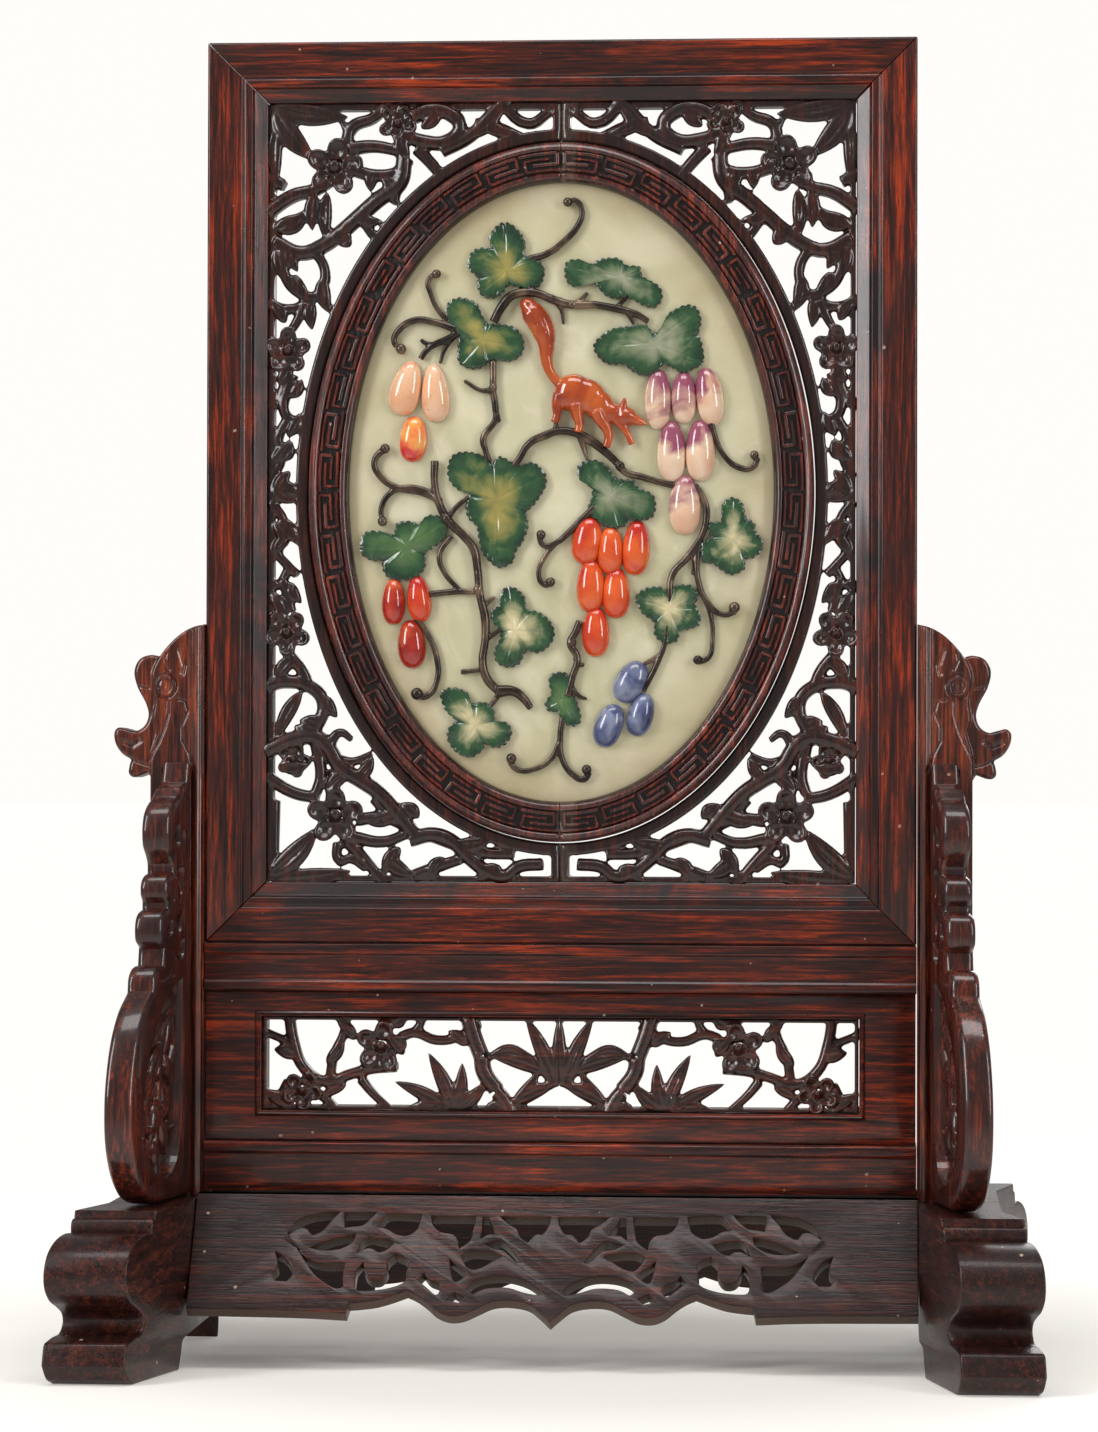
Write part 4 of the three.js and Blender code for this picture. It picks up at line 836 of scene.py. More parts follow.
def vine_stem(start_radius, end_radius, points):
    """A rounded stem that lies on the jade, with its thickness changing from end to end"""
    bpy.ops.curve.primitive_bezier_curve_add()
    rod = bpy.context.object
    spline = rod.data.splines[0]
    spline.bezier_points.add(len(points) - 2)
    for i, (knot, (x, z)) in enumerate(zip(spline.bezier_points, points)):
        radius = start_radius + (end_radius - start_radius) * i / (len(points) - 1)
        radius *= metal.uniform(0.93, 1.12)
        knot.co = (x * MM, (PLAQUE_FRONT - radius * 0.8) * MM, (z + FRAME_CENTRE_Z) * MM)
        knot.handle_left_type = knot.handle_right_type = "AUTO"
        knot.radius = radius
    rod.data.dimensions = "3D"
    rod.data.bevel_depth = MM
    rod.data.bevel_resolution = 3
    rod.data.resolution_u = 6
    rod.data.use_fill_caps = True
    bpy.ops.object.convert(target="MESH")
    return rod


def vine_ball(x, z, radius):
    place = (x * MM, (PLAQUE_FRONT - radius * 0.85) * MM, (z + FRAME_CENTRE_Z) * MM)
    bpy.ops.mesh.primitive_uv_sphere_add(segments=20, ring_count=12, radius=radius * MM, location=place)
    bpy.ops.object.transform_apply(location=True, rotation=False, scale=False)
    return bpy.context.object


metal = random.Random(5)
vine_metal, vine_tree, vine_place, vine_shader = stone_finish("dark_patinated_metal", 0.27, 0.0, 1.0, 0.2)
vine_cloud = add_node(vine_tree, "TexNoise", {"Vector": vine_place, "Scale": 110.0, "Detail": 5.0})
vine_colour = add_ramp(vine_tree, vine_cloud.outputs["Fac"], (0.35, (0.02, 0.013, 0.010)),
                       (0.52, (0.065, 0.042, 0.03)), (0.68, (0.20, 0.135, 0.09)))
vine_tree.links.new(vine_colour, vine_shader.inputs["Base Color"])
vine_shader.inputs["Metallic"].default_value = 0.55
vine_pits = add_node(vine_tree, "TexNoise", {"Vector": vine_place, "Scale": 700.0, "Detail": 3.0})
vine_bump = add_node(vine_tree, "Bump", {"Strength": 0.25, "Distance": 0.0004, "Height": vine_pits.outputs["Fac"]})
vine_tree.links.new(vine_bump.outputs["Normal"], vine_shader.inputs["Normal"])
for vine_name, (stems, balls) in VINES.items():
    rods = [vine_stem(*rod) for rod in stems] + [vine_ball(*end) for end in balls]
    vine = join_pieces(rods)
    apply_modifier(vine, "REMESH", mode="VOXEL", voxel_size=0.42 * MM, adaptivity=0)
    apply_modifier(vine, "SMOOTH", factor=0.5, iterations=2)
    bpy.ops.object.shade_smooth()
    finish_piece(vine, vine_name + "_cast", "vine_metal", vine_metal, vine_name)


# Leaves: thin green stones ground to a few lobes with a scalloped edge, each lobe a little hollow
# with a vein cut down it, darkest at the rim and pale olive or cream at the heart.

def soft_line(points, closed=True, steps=5):
    """A smooth line through points, straight and sharp where a point carries a third value"""
    line = []
    count = len(points)
    for i in range(count if closed else count - 1):
        before, here, there, after = (points[j % count] if closed else points[max(0, min(count - 1, j))]
                                      for j in range(i - 1, i + 3))
        start, stop = Vector(here[:2]), Vector(there[:2])
        leave = stop - start if len(here) > 2 else (stop - Vector(before[:2])) / 2
        reach = stop - start if len(there) > 2 else (Vector(after[:2]) - start) / 2
        if len(here) > 2 and len(there) > 2:
            line.append(tuple(start))
            continue
        for step in range(steps):
            t = step / steps
            place = start * (2 * t ** 3 - 3 * t ** 2 + 1) + leave * (t ** 3 - 2 * t ** 2 + t)
            place += stop * (3 * t ** 2 - 2 * t ** 3) + reach * (t ** 3 - t ** 2)
            line.append(tuple(place))
    if not closed:
        line.append(tuple(points[-1][:2]))
    return line


# Each leaf has its heart, where its veins meet, the colour there, and the outline of its lobes
LEAVES = {
    "leaf_top": ((-22.5, 90.5), "olive", [
        (-23, 111), (-18, 108), (-15, 102.5), (-15.5, 98), (-10, 95.5), (-7, 91.5), (-8.5, 85.5), (-12.5, 84),
        (-17.5, 84.5), (-21.5, 85.5), (-25, 81.5), (-29, 80), (-33, 81.5), (-34.5, 85.5), (-34.5, 88.5),
        (-37.5, 91.5), (-38.5, 94), (-37, 98.5), (-33.5, 100.5), (-29, 100.5), (-29.5, 105), (-27, 109)]),
    "leaf_long": ((24.5, 88), "grey", [
        (1.5, 90.5), (2.5, 94.5), (7, 95.5), (12, 93.5), (16.5, 95.5), (23, 96), (27, 93), (32, 92.5),
        (33.5, 88.5), (40, 84.5), (41.5, 80), (39, 76), (34.5, 76.5), (30, 79), (26.5, 80.5), (23, 79.5),
        (18.5, 81), (15.5, 84), (12.5, 87), (7, 84.5), (3, 86)]),
    "leaf_right_fan": ((38, 61), "grey", [
        (13.5, 59.5), (16.5, 64), (22, 67), (29, 68), (35, 68.5), (38, 65), (42, 68), (44, 72.5), (49.5, 76),
        (55, 76), (57.5, 70.5), (56.5, 65), (58, 60), (58.5, 53.5), (55.5, 51), (50.5, 49), (46, 51),
        (42, 52.5), (39, 49), (33.5, 48), (29, 50), (26, 52.5), (20.5, 52.5), (16.5, 54.5)]),
    "leaf_left": ((-32, 62.5), "olive", [
        (-47, 77), (-42, 80), (-35.5, 78), (-33, 73.5), (-30.5, 69.5), (-25, 69), (-19, 67.5), (-15.5, 62),
        (-16.5, 56.5), (-21, 54), (-26, 54.5), (-29.5, 54), (-32.5, 51.5), (-37.5, 51), (-42, 53.5),
        (-42.5, 59.5), (-42, 64), (-43.5, 67), (-46.5, 70.5)]),
    "leaf_middle": ((-26.5, -3), "olive", [
        (-46.5, 9.5), (-44.5, 15), (-39, 16.5), (-32.5, 15), (-28.5, 12), (-25, 14.5), (-20, 12), (-16.5, 11),
        (-11.5, 12), (-6.5, 7.5), (-6.5, 2), (-10.5, -4.5), (-14, -8.5), (-13.5, -14), (-15.5, -20),
        (-18.5, -24.5), (-20, -29), (-25, -31), (-28.5, -29), (-32, -25), (-33.5, -19), (-34.5, -14),
        (-38, -10.5), (-39, -5.5), (-37.5, -1), (-42, 1), (-45.5, 4.5)]),
    "leaf_over_fruit": ((20.5, -2), "grey", [
        (7, 9.5), (9, 12), (14, 13), (19, 10.5), (21.5, 6.5), (25, 5), (30, 4.5), (32, 1.5), (37.5, -1),
        (39, -5.5), (37.5, -10.5), (32.5, -11.5), (28.5, -11.5), (26, -14), (22, -15), (17.5, -13.5),
        (14, -11), (11.5, -6.5), (13, -2), (12.5, 2), (8.5, 4.5)]),
    "leaf_far_left": ((-63.5, -22.5), "green", [
        (-82.5, -22), (-81, -17), (-75.5, -16), (-69, -17.5), (-67.5, -13), (-62.5, -12), (-58.5, -13),
        (-54, -9.5), (-47.5, -11.5), (-47.5, -18), (-53, -23), (-56, -25.5), (-56, -31), (-60, -35),
        (-65, -36), (-71, -35), (-73.5, -30.5), (-73, -28), (-77.5, -28), (-82, -25.5)]),
    "leaf_far_right": ((71, -19), "cream", [
        (61, -13), (66, -12), (66.5, -5.5), (70.5, -2.5), (74.5, -5), (76, -10.5), (79.5, -13), (80, -16.5),
        (82.5, -19.5), (82.5, -24), (79, -27), (75.5, -27.5), (75.5, -31.5), (70.5, -34), (66, -32),
        (63, -29.5), (58.5, -28.5), (58, -22), (61.5, -18.5)]),
    "leaf_low_right": ((44.5, -48), "cream", [
        (31, -43.5), (34.5, -40), (40.5, -39), (44.5, -41), (48.5, -38.5), (53.5, -38.5), (56.5, -41.5),
        (55.5, -46.5), (57.5, -50.5), (57, -54.5), (52, -56.5), (49, -57), (48, -61), (43, -62), (39, -59),
        (38.5, -53.5), (34, -50), (32, -46.5)]),
    "leaf_low_middle": ((-18.5, -57), "cream", [
        (-25, -43.5), (-23, -39.5), (-19, -39.5), (-15, -43), (-14, -48), (-9, -49.5), (-4.5, -53), (-2.5, -58),
        (-4.5, -63), (-9, -66), (-13.5, -65), (-15, -66.5), (-17, -70.5), (-21.5, -72), (-26, -70),
        (-27, -65.5), (-25, -61.5), (-24.5, -57), (-27.5, -53.5), (-28, -49), (-25, -46.5)]),
    "leaf_low_left": ((-35, -96), "cream", [
        (-49, -82.5), (-44.5, -80.5), (-38.5, -82.5), (-36.5, -87), (-31.5, -86.5), (-27.5, -89.5), (-27, -94),
        (-22, -95), (-20, -99), (-22.5, -103.5), (-27, -105), (-31, -103.5), (-32.5, -106.5), (-37, -109),
        (-42.5, -107), (-46, -102.5), (-46, -97.5), (-43, -94), (-47, -90), (-48.5, -86.5)]),
    "leaf_small": ((1, -85.5), "green", [
        (-4, -75.5), (0, -74), (3.5, -76), (4, -81.5), (7, -87), (8.5, -93), (6.5, -96), (2, -95), (-1, -90.5),
        (-4.5, -90), (-6, -87), (-3.5, -82.5), (-4.5, -79)]),
}
LEAF_HEARTS = {"olive": (0.33, 0.28, 0.08), "green": (0.09, 0.17, 0.06), "grey": (0.32, 0.33, 0.22),
               "cream": (0.62, 0.54, 0.32)}
SCALLOP = 1.05
SCALLOP_STEP = 2.7
LEAF_RINGS = 15


def stone_leaf(heart, outline, seed):
    """Rings from the heart to a scalloped rim, creased from each notch and sunk along each lobe's vein"""
    heart = Vector(heart)
    line = [Vector(place) for place in soft_line(outline, steps=9)]
    lengths = [(place - line[i - 1]).length for i, place in enumerate(line)]
    girth = sum(lengths)
    scallops = max(6, round(girth / SCALLOP_STEP))
    reach = [(place - heart).length for place in line]
    span = max(3, len(line) // 14)
    near = [[reach[(i + j) % len(line)] for j in range(-span, span + 1)] for i in range(len(line))]
    veins = [line[i] for i in range(len(line)) if reach[i] == max(near[i])]
    notches = [line[i] for i in range(len(line)) if reach[i] == min(near[i])]
    bpy.ops.mesh.primitive_grid_add(x_subdivisions=len(line), y_subdivisions=LEAF_RINGS + 1)
    piece = bpy.context.object
    travelled = 0
    rim_line = []
    for i, place in enumerate(line):
        travelled += lengths[i]
        run = (line[(i + 1) % len(line)] - line[i - 1]).normalized()
        bite = SCALLOP * (abs(math.sin(math.pi * scallops * travelled / girth)) ** 0.7 - 0.6)
        out = Vector((run.y, -run.x))
        if out.dot(place - heart) < 0:
            out = -out
        rim_line.append(place + out * bite)
    rim_line.append(rim_line[0])
    places, shares = [], []
    for ring in range(LEAF_RINGS + 2):
        share = min(1.0, ring / LEAF_RINGS)
        for target in rim_line:
            spot = heart + (target - heart) * share
            way = spot - heart
            vein = sum(math.exp(-(abs(way.cross((tip - heart).normalized())) / 0.5) ** 2) for tip in veins
                       if way.dot(tip - heart) > 0)
            crease = sum(math.exp(-(abs(way.cross((tip - heart).normalized())) / 1.1) ** 2) for tip in notches
                         if way.dot(tip - heart) > 0)
            ripple = noise.noise(Vector((spot.x * 0.16, spot.y * 0.16, seed)))
            height = 3.0 - 1.1 * share ** 2 + 0.9 * ripple - 0.35 * min(1, vein) * share ** 0.3
            height -= 0.8 * min(1, crease) * share * (1 - 0.3 * share)
            height += 0.5 * max(0.0, share - 0.8) / 0.2
            if share > 0.98:
                height -= 0.5
            if ring > LEAF_RINGS:
                height = 0
            places.append((spot.x * MM, (PLAQUE_FRONT - height) * MM, (spot.y + FRAME_CENTRE_Z) * MM))
            shares.append(share)
    piece.data.vertices.foreach_set("co", [value for place in places for value in place])
    rim = piece.data.attributes.new("rim", "FLOAT", "POINT")
    rim.data.foreach_set("value", shares)
    clean_mesh(piece, 0.005)
    bpy.ops.object.shade_smooth_by_angle(angle=math.radians(50))
    return piece


leaf_stones = {}
for heart_name, heart in LEAF_HEARTS.items():
    leaf_stone, leaf_tree, leaf_place, leaf_shader = stone_finish(heart_name + "_leaf_stone", 0.2, 0.12, 2.0, 0.5)
    rim_share = add_node(leaf_tree, "Attribute", attribute_name="rim").outputs["Fac"]
    leaf_cloud = add_node(leaf_tree, "TexNoise", {"Vector": leaf_place, "Scale": 95.0, "Detail": 5.0,
                                                  "Distortion": 1.2})
    rim_cloud = add_node(leaf_tree, "Math", {0: leaf_cloud.outputs["Fac"], 1: 1.1, 2: rim_share},
                         operation="MULTIPLY_ADD")
    leaf_depth = add_node(leaf_tree, "Math", {0: rim_cloud.outputs[0], 1: 0.5}, operation="MULTIPLY")
    leaf_colour = add_ramp(leaf_tree, leaf_depth.outputs[0], (0.36, heart),
                           (0.52, tuple(0.4 * c + 0.6 * g for c, g in zip(heart, (0.05, 0.115, 0.04)))),
                           (0.64, (0.030, 0.088, 0.034)), (0.8, (0.010, 0.036, 0.017)))
    rim_dark = add_ramp(leaf_tree, rim_share, (0.95, BLACK), (0.99, (0.8, 0.8, 0.8)))
    leaf_edged = add_node(leaf_tree, "Mix", {"Factor": rim_dark, "A": leaf_colour, "B": (0.02, 0.022, 0.012, 1)},
                          data_type="RGBA")
    leaf_tree.links.new(leaf_edged.outputs["Result"], leaf_shader.inputs["Base Color"])
    leaf_stones[heart_name] = leaf_stone
for number, (leaf_name, (heart, heart_name, outline)) in enumerate(LEAVES.items()):
    finish_piece(stone_leaf(heart, outline, number * 1.7), leaf_name + "_ground", "green_stone",
                 leaf_stones[heart_name], leaf_name)


# Fruit: long cabochons with a flat back, polished to a high gloss. Pale coral, carnelian, red stone,
# purple-ended cream stone and grey-blue lapis. A cluster's stones touch and are set as one.

# (x, z, half width, half height, tilt in degrees, how much narrower the top is)
FRUITS = {
    "berry_pale_1": ("pale_coral", [(-64, 43, 6.3, 11.4, 14, 0.18)]),
    "berry_pale_2": ("pale_coral", [(-52, 41, 5.7, 12, -4, 0.22)]),
    "berry_pale_3": ("mottled_coral", [(-61, 22, 5.7, 9.4, 4, 0.08)]),
    "berry_red_1": ("red_stone", [(-69, -45, 4.9, 9.6, 0, 0.1)]),
    "berry_red_2": ("orange_stone", [(-58.5, -44, 5.0, 9.6, -6, 0.1)]),
    "berry_red_3": ("red_stone", [(-61.5, -62.5, 5.8, 10, -4, 0.1)]),
    "berry_blue_1": ("blue_stone", [(29, -78, 6.2, 9.2, 30, 0.05)]),
    "berry_blue_2": ("blue_stone", [(20, -96, 5.8, 9.2, 20, 0.05)]),
    "berry_blue_3": ("blue_stone", [(33, -91.5, 5.4, 9, 15, 0.05)]),
    "berries_orange": ("orange_stone", [(11, -20, 6.3, 9.9, 8, 0.1), (20.5, -24, 5.4, 9.8, 0, 0.1),
                                        (31, -23, 5.7, 11.2, 4, 0.1), (12.5, -38.5, 5.9, 11, 0, 0.1),
                                        (22.8, -41.5, 5.7, 10.4, 0, 0.1), (14.5, -57.5, 5.7, 10.2, 0, 0.1)]),
    "berries_purple": ("purple_stone", [(40, 38, 5.6, 12.4, 0, 0.05), (50.5, 38.6, 5.3, 10.6, 0, 0.05),
                                        (61, 39, 5.7, 12, -8, 0.05), (45.5, 16.6, 5.9, 12.6, 0, 0.1),
                                        (57.3, 17, 6.1, 12.6, 0, 0.1), (51, -5.4, 6.6, 12.2, 0, 0.12)]),
}
FRUIT_THICKNESS = 5.2


def fruit(x, z, half_x, half_z, tilt, narrowing):
    bpy.ops.mesh.primitive_uv_sphere_add(segments=40, ring_count=28, radius=1)
    bean = bpy.context.object
    way = bean.data.attributes.new("way", "FLOAT", "POINT")
    lean = math.radians(-tilt)
    for vertex in bean.data.vertices:
        across, thick, along = vertex.co
        wide = across * half_x * (1 - narrowing * along) * max(0.03, 1 - along * along) ** -0.09
        high = along * half_z
        height = -thick * FRUIT_THICKNESS * (1 - 0.5 * narrowing * along) if thick < 0 else 0
        vertex.co = ((x + wide * math.cos(lean) - high * math.sin(lean)) * MM, (PLAQUE_FRONT - height) * MM,
                     (FRAME_CENTRE_Z + z + wide * math.sin(lean) + high * math.cos(lean)) * MM)
        way.data[vertex.index].value = along * 0.5 + 0.5
    clean_mesh(bean, 0.003)
    bpy.ops.object.shade_smooth_by_angle(angle=math.radians(60))
    return bean


def fruit_finish(name, low, middle, high, cloud_scale=60.0, roughness=0.12, speckle=None, top=None, top_from=0.6):
    material, tree, place, shader = stone_finish(name, roughness, 0.22, 2.5, 0.6)
    cloud = add_node(tree, "TexNoise", {"Vector": place, "Scale": cloud_scale, "Detail": 4.0, "Distortion": 0.8})
    colour = add_ramp(tree, cloud.outputs["Fac"], (0.34, low), (0.5, middle), (0.66, high))
    if top:
        way = add_node(tree, "Attribute", attribute_name="way").outputs["Fac"]
        stain = add_node(tree, "TexNoise", {"Vector": place, "Scale": 42.0, "Detail": 4.0, "Distortion": 1.0})
        top_place = add_node(tree, "Math", {0: stain.outputs["Fac"], 1: 2.4, 2: way}, operation="MULTIPLY_ADD")
        top_third = add_node(tree, "Math", {0: top_place.outputs[0], 1: 0.333}, operation="MULTIPLY")
        top_mask = add_ramp(tree, top_third.outputs[0], (top_from / 3 + 0.4, BLACK), (top_from / 3 + 0.52, WHITE))
        colour = add_node(tree, "Mix", {"Factor": top_mask, "A": colour, "B": (*top, 1)},
                          data_type="RGBA").outputs["Result"]
    if speckle:
        dots = add_node(tree, "TexNoise", {"Vector": place, "Scale": 520.0, "Detail": 2.0})
        dot_mask = add_ramp(tree, dots.outputs["Fac"], (0.66, BLACK), (0.73, WHITE))
        colour = add_node(tree, "Mix", {"Factor": dot_mask, "A": colour, "B": (*speckle, 1)},
                          data_type="RGBA").outputs["Result"]
    tree.links.new(colour, shader.inputs["Base Color"])
    return material


fruit_stones = {
    "pale_coral": fruit_finish("pale_coral", (0.80, 0.42, 0.23), (0.80, 0.49, 0.31), (0.84, 0.60, 0.42), 70,
                               speckle=(0.42, 0.15, 0.07), top=(0.78, 0.20, 0.08), top_from=0.86),
    "mottled_coral": fruit_finish("mottled_coral", (0.62, 0.03, 0.03), (0.80, 0.14, 0.05), (0.88, 0.40, 0.10), 120),
    "red_stone": fruit_finish("red_stone", (0.28, 0.012, 0.008), (0.42, 0.025, 0.012), (0.55, 0.055, 0.02), 80,
                              top=(0.62, 0.10, 0.03), top_from=0.75),
    "orange_stone": fruit_finish("orange_carnelian", (0.50, 0.032, 0.010), (0.64, 0.060, 0.013),
                                 (0.74, 0.12, 0.022), 55, top=(0.50, 0.022, 0.012), top_from=0.6),
    "blue_stone": fruit_finish("grey_blue_lapis", (0.032, 0.040, 0.11), (0.075, 0.09, 0.20), (0.22, 0.25, 0.36),
                               90, roughness=0.2, speckle=(0.20, 0.19, 0.22)),
    "purple_stone": fruit_finish("purple_cream_stone", (0.74, 0.43, 0.28), (0.78, 0.52, 0.36),
                                 (0.84, 0.64, 0.47), 60, top=(0.30, 0.075, 0.13), top_from=0.44),
}
FRUIT_SLOTS = {"mottled_coral": "pale_coral"}
for fruit_name, (stone, beans) in FRUITS.items():
    slot = fruit_name.startswith("berry_red") and "red_stone" or FRUIT_SLOTS.get(stone, stone)
    cluster = join_pieces([fruit(*bean) for bean in beans])
    finish_piece(cluster, fruit_name + "_polished", slot, fruit_stones[stone], fruit_name)


# Squirrel: one orange-brown stone, walking down a branch with its thick tail raised behind it.

def body_lump(x, z, half_x, half_z, tilt=0, height=5.0, lift=0.6):
    bpy.ops.mesh.primitive_uv_sphere_add(segments=24, ring_count=16, radius=1)
    lump = bpy.context.object
    lean = math.radians(tilt)
    for vertex in lump.data.vertices:
        a, y, b = vertex.co
        vertex.co = ((x + a * half_x * math.cos(lean) - b * half_z * math.sin(lean)), PLAQUE_FRONT - lift + y * height,
                     z + a * half_x * math.sin(lean) + b * half_z * math.cos(lean))
    return lump


def limb(radii, points, lift=1.6):
    bpy.ops.curve.primitive_bezier_curve_add()
    rod = bpy.context.object
    spline = rod.data.splines[0]
    spline.bezier_points.add(len(points) - 2)
    for knot, radius, (x, z) in zip(spline.bezier_points, radii, points):
        knot.co = (x, PLAQUE_FRONT - lift, z)
        knot.handle_left_type = knot.handle_right_type = "AUTO"
        knot.radius = radius
    rod.data.dimensions = "3D"
    rod.data.bevel_depth = 1
    rod.data.bevel_resolution = 4
    rod.data.use_fill_caps = True
    bpy.ops.object.convert(target="MESH")
    return rod


squirrel_parts = [
    limb([3.4, 4.9, 5.2, 4.7, 3.4, 2.6, 2.1, 2.0, 2.2],
         [(-14, 76.5), (-12, 74), (-9, 70), (-6.8, 65), (-6, 60), (-6, 55), (-4.4, 49.4), (-1.2, 45), (3, 41)], 1.2),
    body_lump(-13.4, 76.6, 4.0, 3.4, -35, 4.0),
    body_lump(5.4, 40.6, 8.2, 8.0, -14, 5.4),
    body_lump(10.4, 39.4, 8.8, 7.2, -28, 5.2),
    body_lump(15.4, 35.6, 6.8, 6.2, -34, 4.9),
    body_lump(20.6, 32.6, 5.4, 4.2, -12, 4.3),
    body_lump(26.8, 31.0, 4.8, 4.1, -20, 4.6),
    limb([3.3, 2.0, 0.7], [(27.5, 30.8), (32, 29.0), (35.6, 27.7)], 1.8),
    limb([1.9, 1.5, 0.5], [(25.4, 33.2), (26, 36.2), (26.3, 38.8)], 2.4),
    limb([3.2, 2.6, 1.7, 1.8], [(-0.2, 40), (-1.3, 36.6), (-1.6, 31.4), (-2.6, 28.4)], 2.2),
    limb([3.2, 2.6, 1.8, 1.9], [(6.2, 36), (6.8, 32), (7.8, 27.4), (7.2, 24.4)], 3.0),
    limb([3.4, 2.6, 2.1, 1.8, 1.7], [(14.6, 33), (17, 28.8), (19.4, 25), (19.6, 21), (18.8, 18.2)], 3.0),
    limb([2.4, 1.8, 1.4, 1.5], [(22.4, 30.2), (25.6, 26.8), (28, 22.8), (29.4, 19.4)], 1.8),
]
squirrel = join_pieces(squirrel_parts)
for vertex in squirrel.data.vertices:
    x, y, z = vertex.co
    vertex.co = (x * MM, min(y, PLAQUE_FRONT) * MM, (z + FRAME_CENTRE_Z) * MM)
apply_modifier(squirrel, "REMESH", mode="VOXEL", voxel_size=0.4 * MM, adaptivity=0)
apply_modifier(squirrel, "SMOOTH", factor=0.5, iterations=6)
TAIL_TOP, TAIL_END = Vector((-14.6, 79)), Vector((-6, 60))
for vertex in squirrel.data.vertices:
    x, y, z = vertex.co / MM
    z -= FRAME_CENTRE_Z
    run = (Vector((x, z)) - TAIL_TOP).dot((TAIL_END - TAIL_TOP).normalized())
    side = (Vector((x, z)) - TAIL_TOP).cross((TAIL_END - TAIL_TOP).normalized())
    if 5 < run < 18 and -3.2 < side < 1.2 and y < PLAQUE_FRONT - 2.5:
        vertex.co.y += 0.24 * MM * math.sin(side * 2 * math.pi / 0.95) * math.sin(math.pi * (run - 5) / 13)
bpy.ops.object.shade_smooth()
squirrel_stone = fruit_finish("squirrel_stone", (0.24, 0.030, 0.008), (0.38, 0.055, 0.011), (0.52, 0.105, 0.018), 65)
finish_piece(squirrel, "squirrel_carved", "squirrel_stone", squirrel_stone, "squirrel")


# Stand posts: square timbers with a bead down the inner edge. Each rises to a beast's head with a
# ringed eye, cheek and brow lines and a snout that curls outward over a lower lip.

POST_INNER = 146.3
POST_WIDTH = 22.3
POST_HALF_DEPTH = 12
POST_TOP = 301
FOOT_TOP = 66
HEAD_BOTTOM = 62


def fretted_board(outline, half_thickness, edge, holes=(), turn=0):
    """A board cut to a smooth outline in mm, its local Z the thickness, with an eased edge"""
    # The fill leaves gaps in some fretted drawings as they lie, and none when they are filled turned
    turned = Matrix.Rotation(math.radians(turn), 2)
    drawing = bpy.data.curves.new("board", "CURVE")
    drawing.dimensions = "2D"
    drawing.fill_mode = "BOTH"
    drawing.extrude = half_thickness - edge
    drawing.bevel_depth = edge
    drawing.bevel_resolution = 3
    drawing.offset = -edge
    for line in (outline, *holes):
        spline = drawing.splines.new("POLY")
        spline.points.add(len(line) - 1)
        for point, place in zip(spline.points, line):
            point.co = (*(turned @ Vector(place)), 0, 1)
        spline.use_cyclic_u = True
    piece = bpy.data.objects.new("board", drawing)
    bpy.context.collection.objects.link(piece)
    bpy.context.view_layer.objects.active = piece
    bpy.ops.object.select_all(action="DESELECT")
    piece.select_set(True)
    bpy.ops.object.convert(target="MESH")
    piece = bpy.context.object
    piece.data.transform(Matrix.Rotation(math.radians(-turn), 4, "Z"))
    return piece


def upright(piece):
    """Stands a board up: its drawing goes to X and Z, and its thickness to Y"""
    piece.data.transform(Matrix.Rotation(math.radians(90), 4, "X"))
    return piece


def distance_to_line(place, line):
    nearest = 1e9
    for start, stop in zip(line, line[1:]):
        run = (stop[0] - start[0], stop[1] - start[1])
        length = run[0] ** 2 + run[1] ** 2
        t = ((place[0] - start[0]) * run[0] + (place[1] - start[1]) * run[1]) / length if length else 0
        t = max(0.0, min(1.0, t))
        nearest = min(nearest, math.hypot(place[0] - start[0] - t * run[0], place[1] - start[1] - t * run[1]))
    return nearest


def bead_relief(out):
    """How far the post's face stands out at a distance from its inner edge"""
    return 0.7 * math.exp(-((out - 3.1) / 0.9) ** 2) - 0.6 * math.exp(-((out - 5.4) / 0.55) ** 2) \
        - 0.5 * math.exp(-((out - 1.2) / 0.5) ** 2)


face_steps = [0.4 + i * 0.36 for i in range(60)]
post_face = [(out, -POST_HALF_DEPTH - bead_relief(out)) for out in face_steps if out < POST_WIDTH - 0.8]
post_section = [*post_face, (POST_WIDTH - 0.5, -POST_HALF_DEPTH), (POST_WIDTH, -POST_HALF_DEPTH + 0.6),
                (POST_WIDTH, POST_HALF_DEPTH - 0.6), (POST_WIDTH - 0.6, POST_HALF_DEPTH), (0.6, POST_HALF_DEPTH),
                (0, POST_HALF_DEPTH - 0.6), (0, -POST_HALF_DEPTH + 0.6)]
post_shaft = run_moulding(post_section, [(POST_INNER, FOOT_TOP + 0.3, 1, 0), (POST_INNER, POST_TOP - HEAD_BOTTOM, 1, 0)])
bpy.ops.object.shade_smooth_by_angle(angle=math.radians(35))

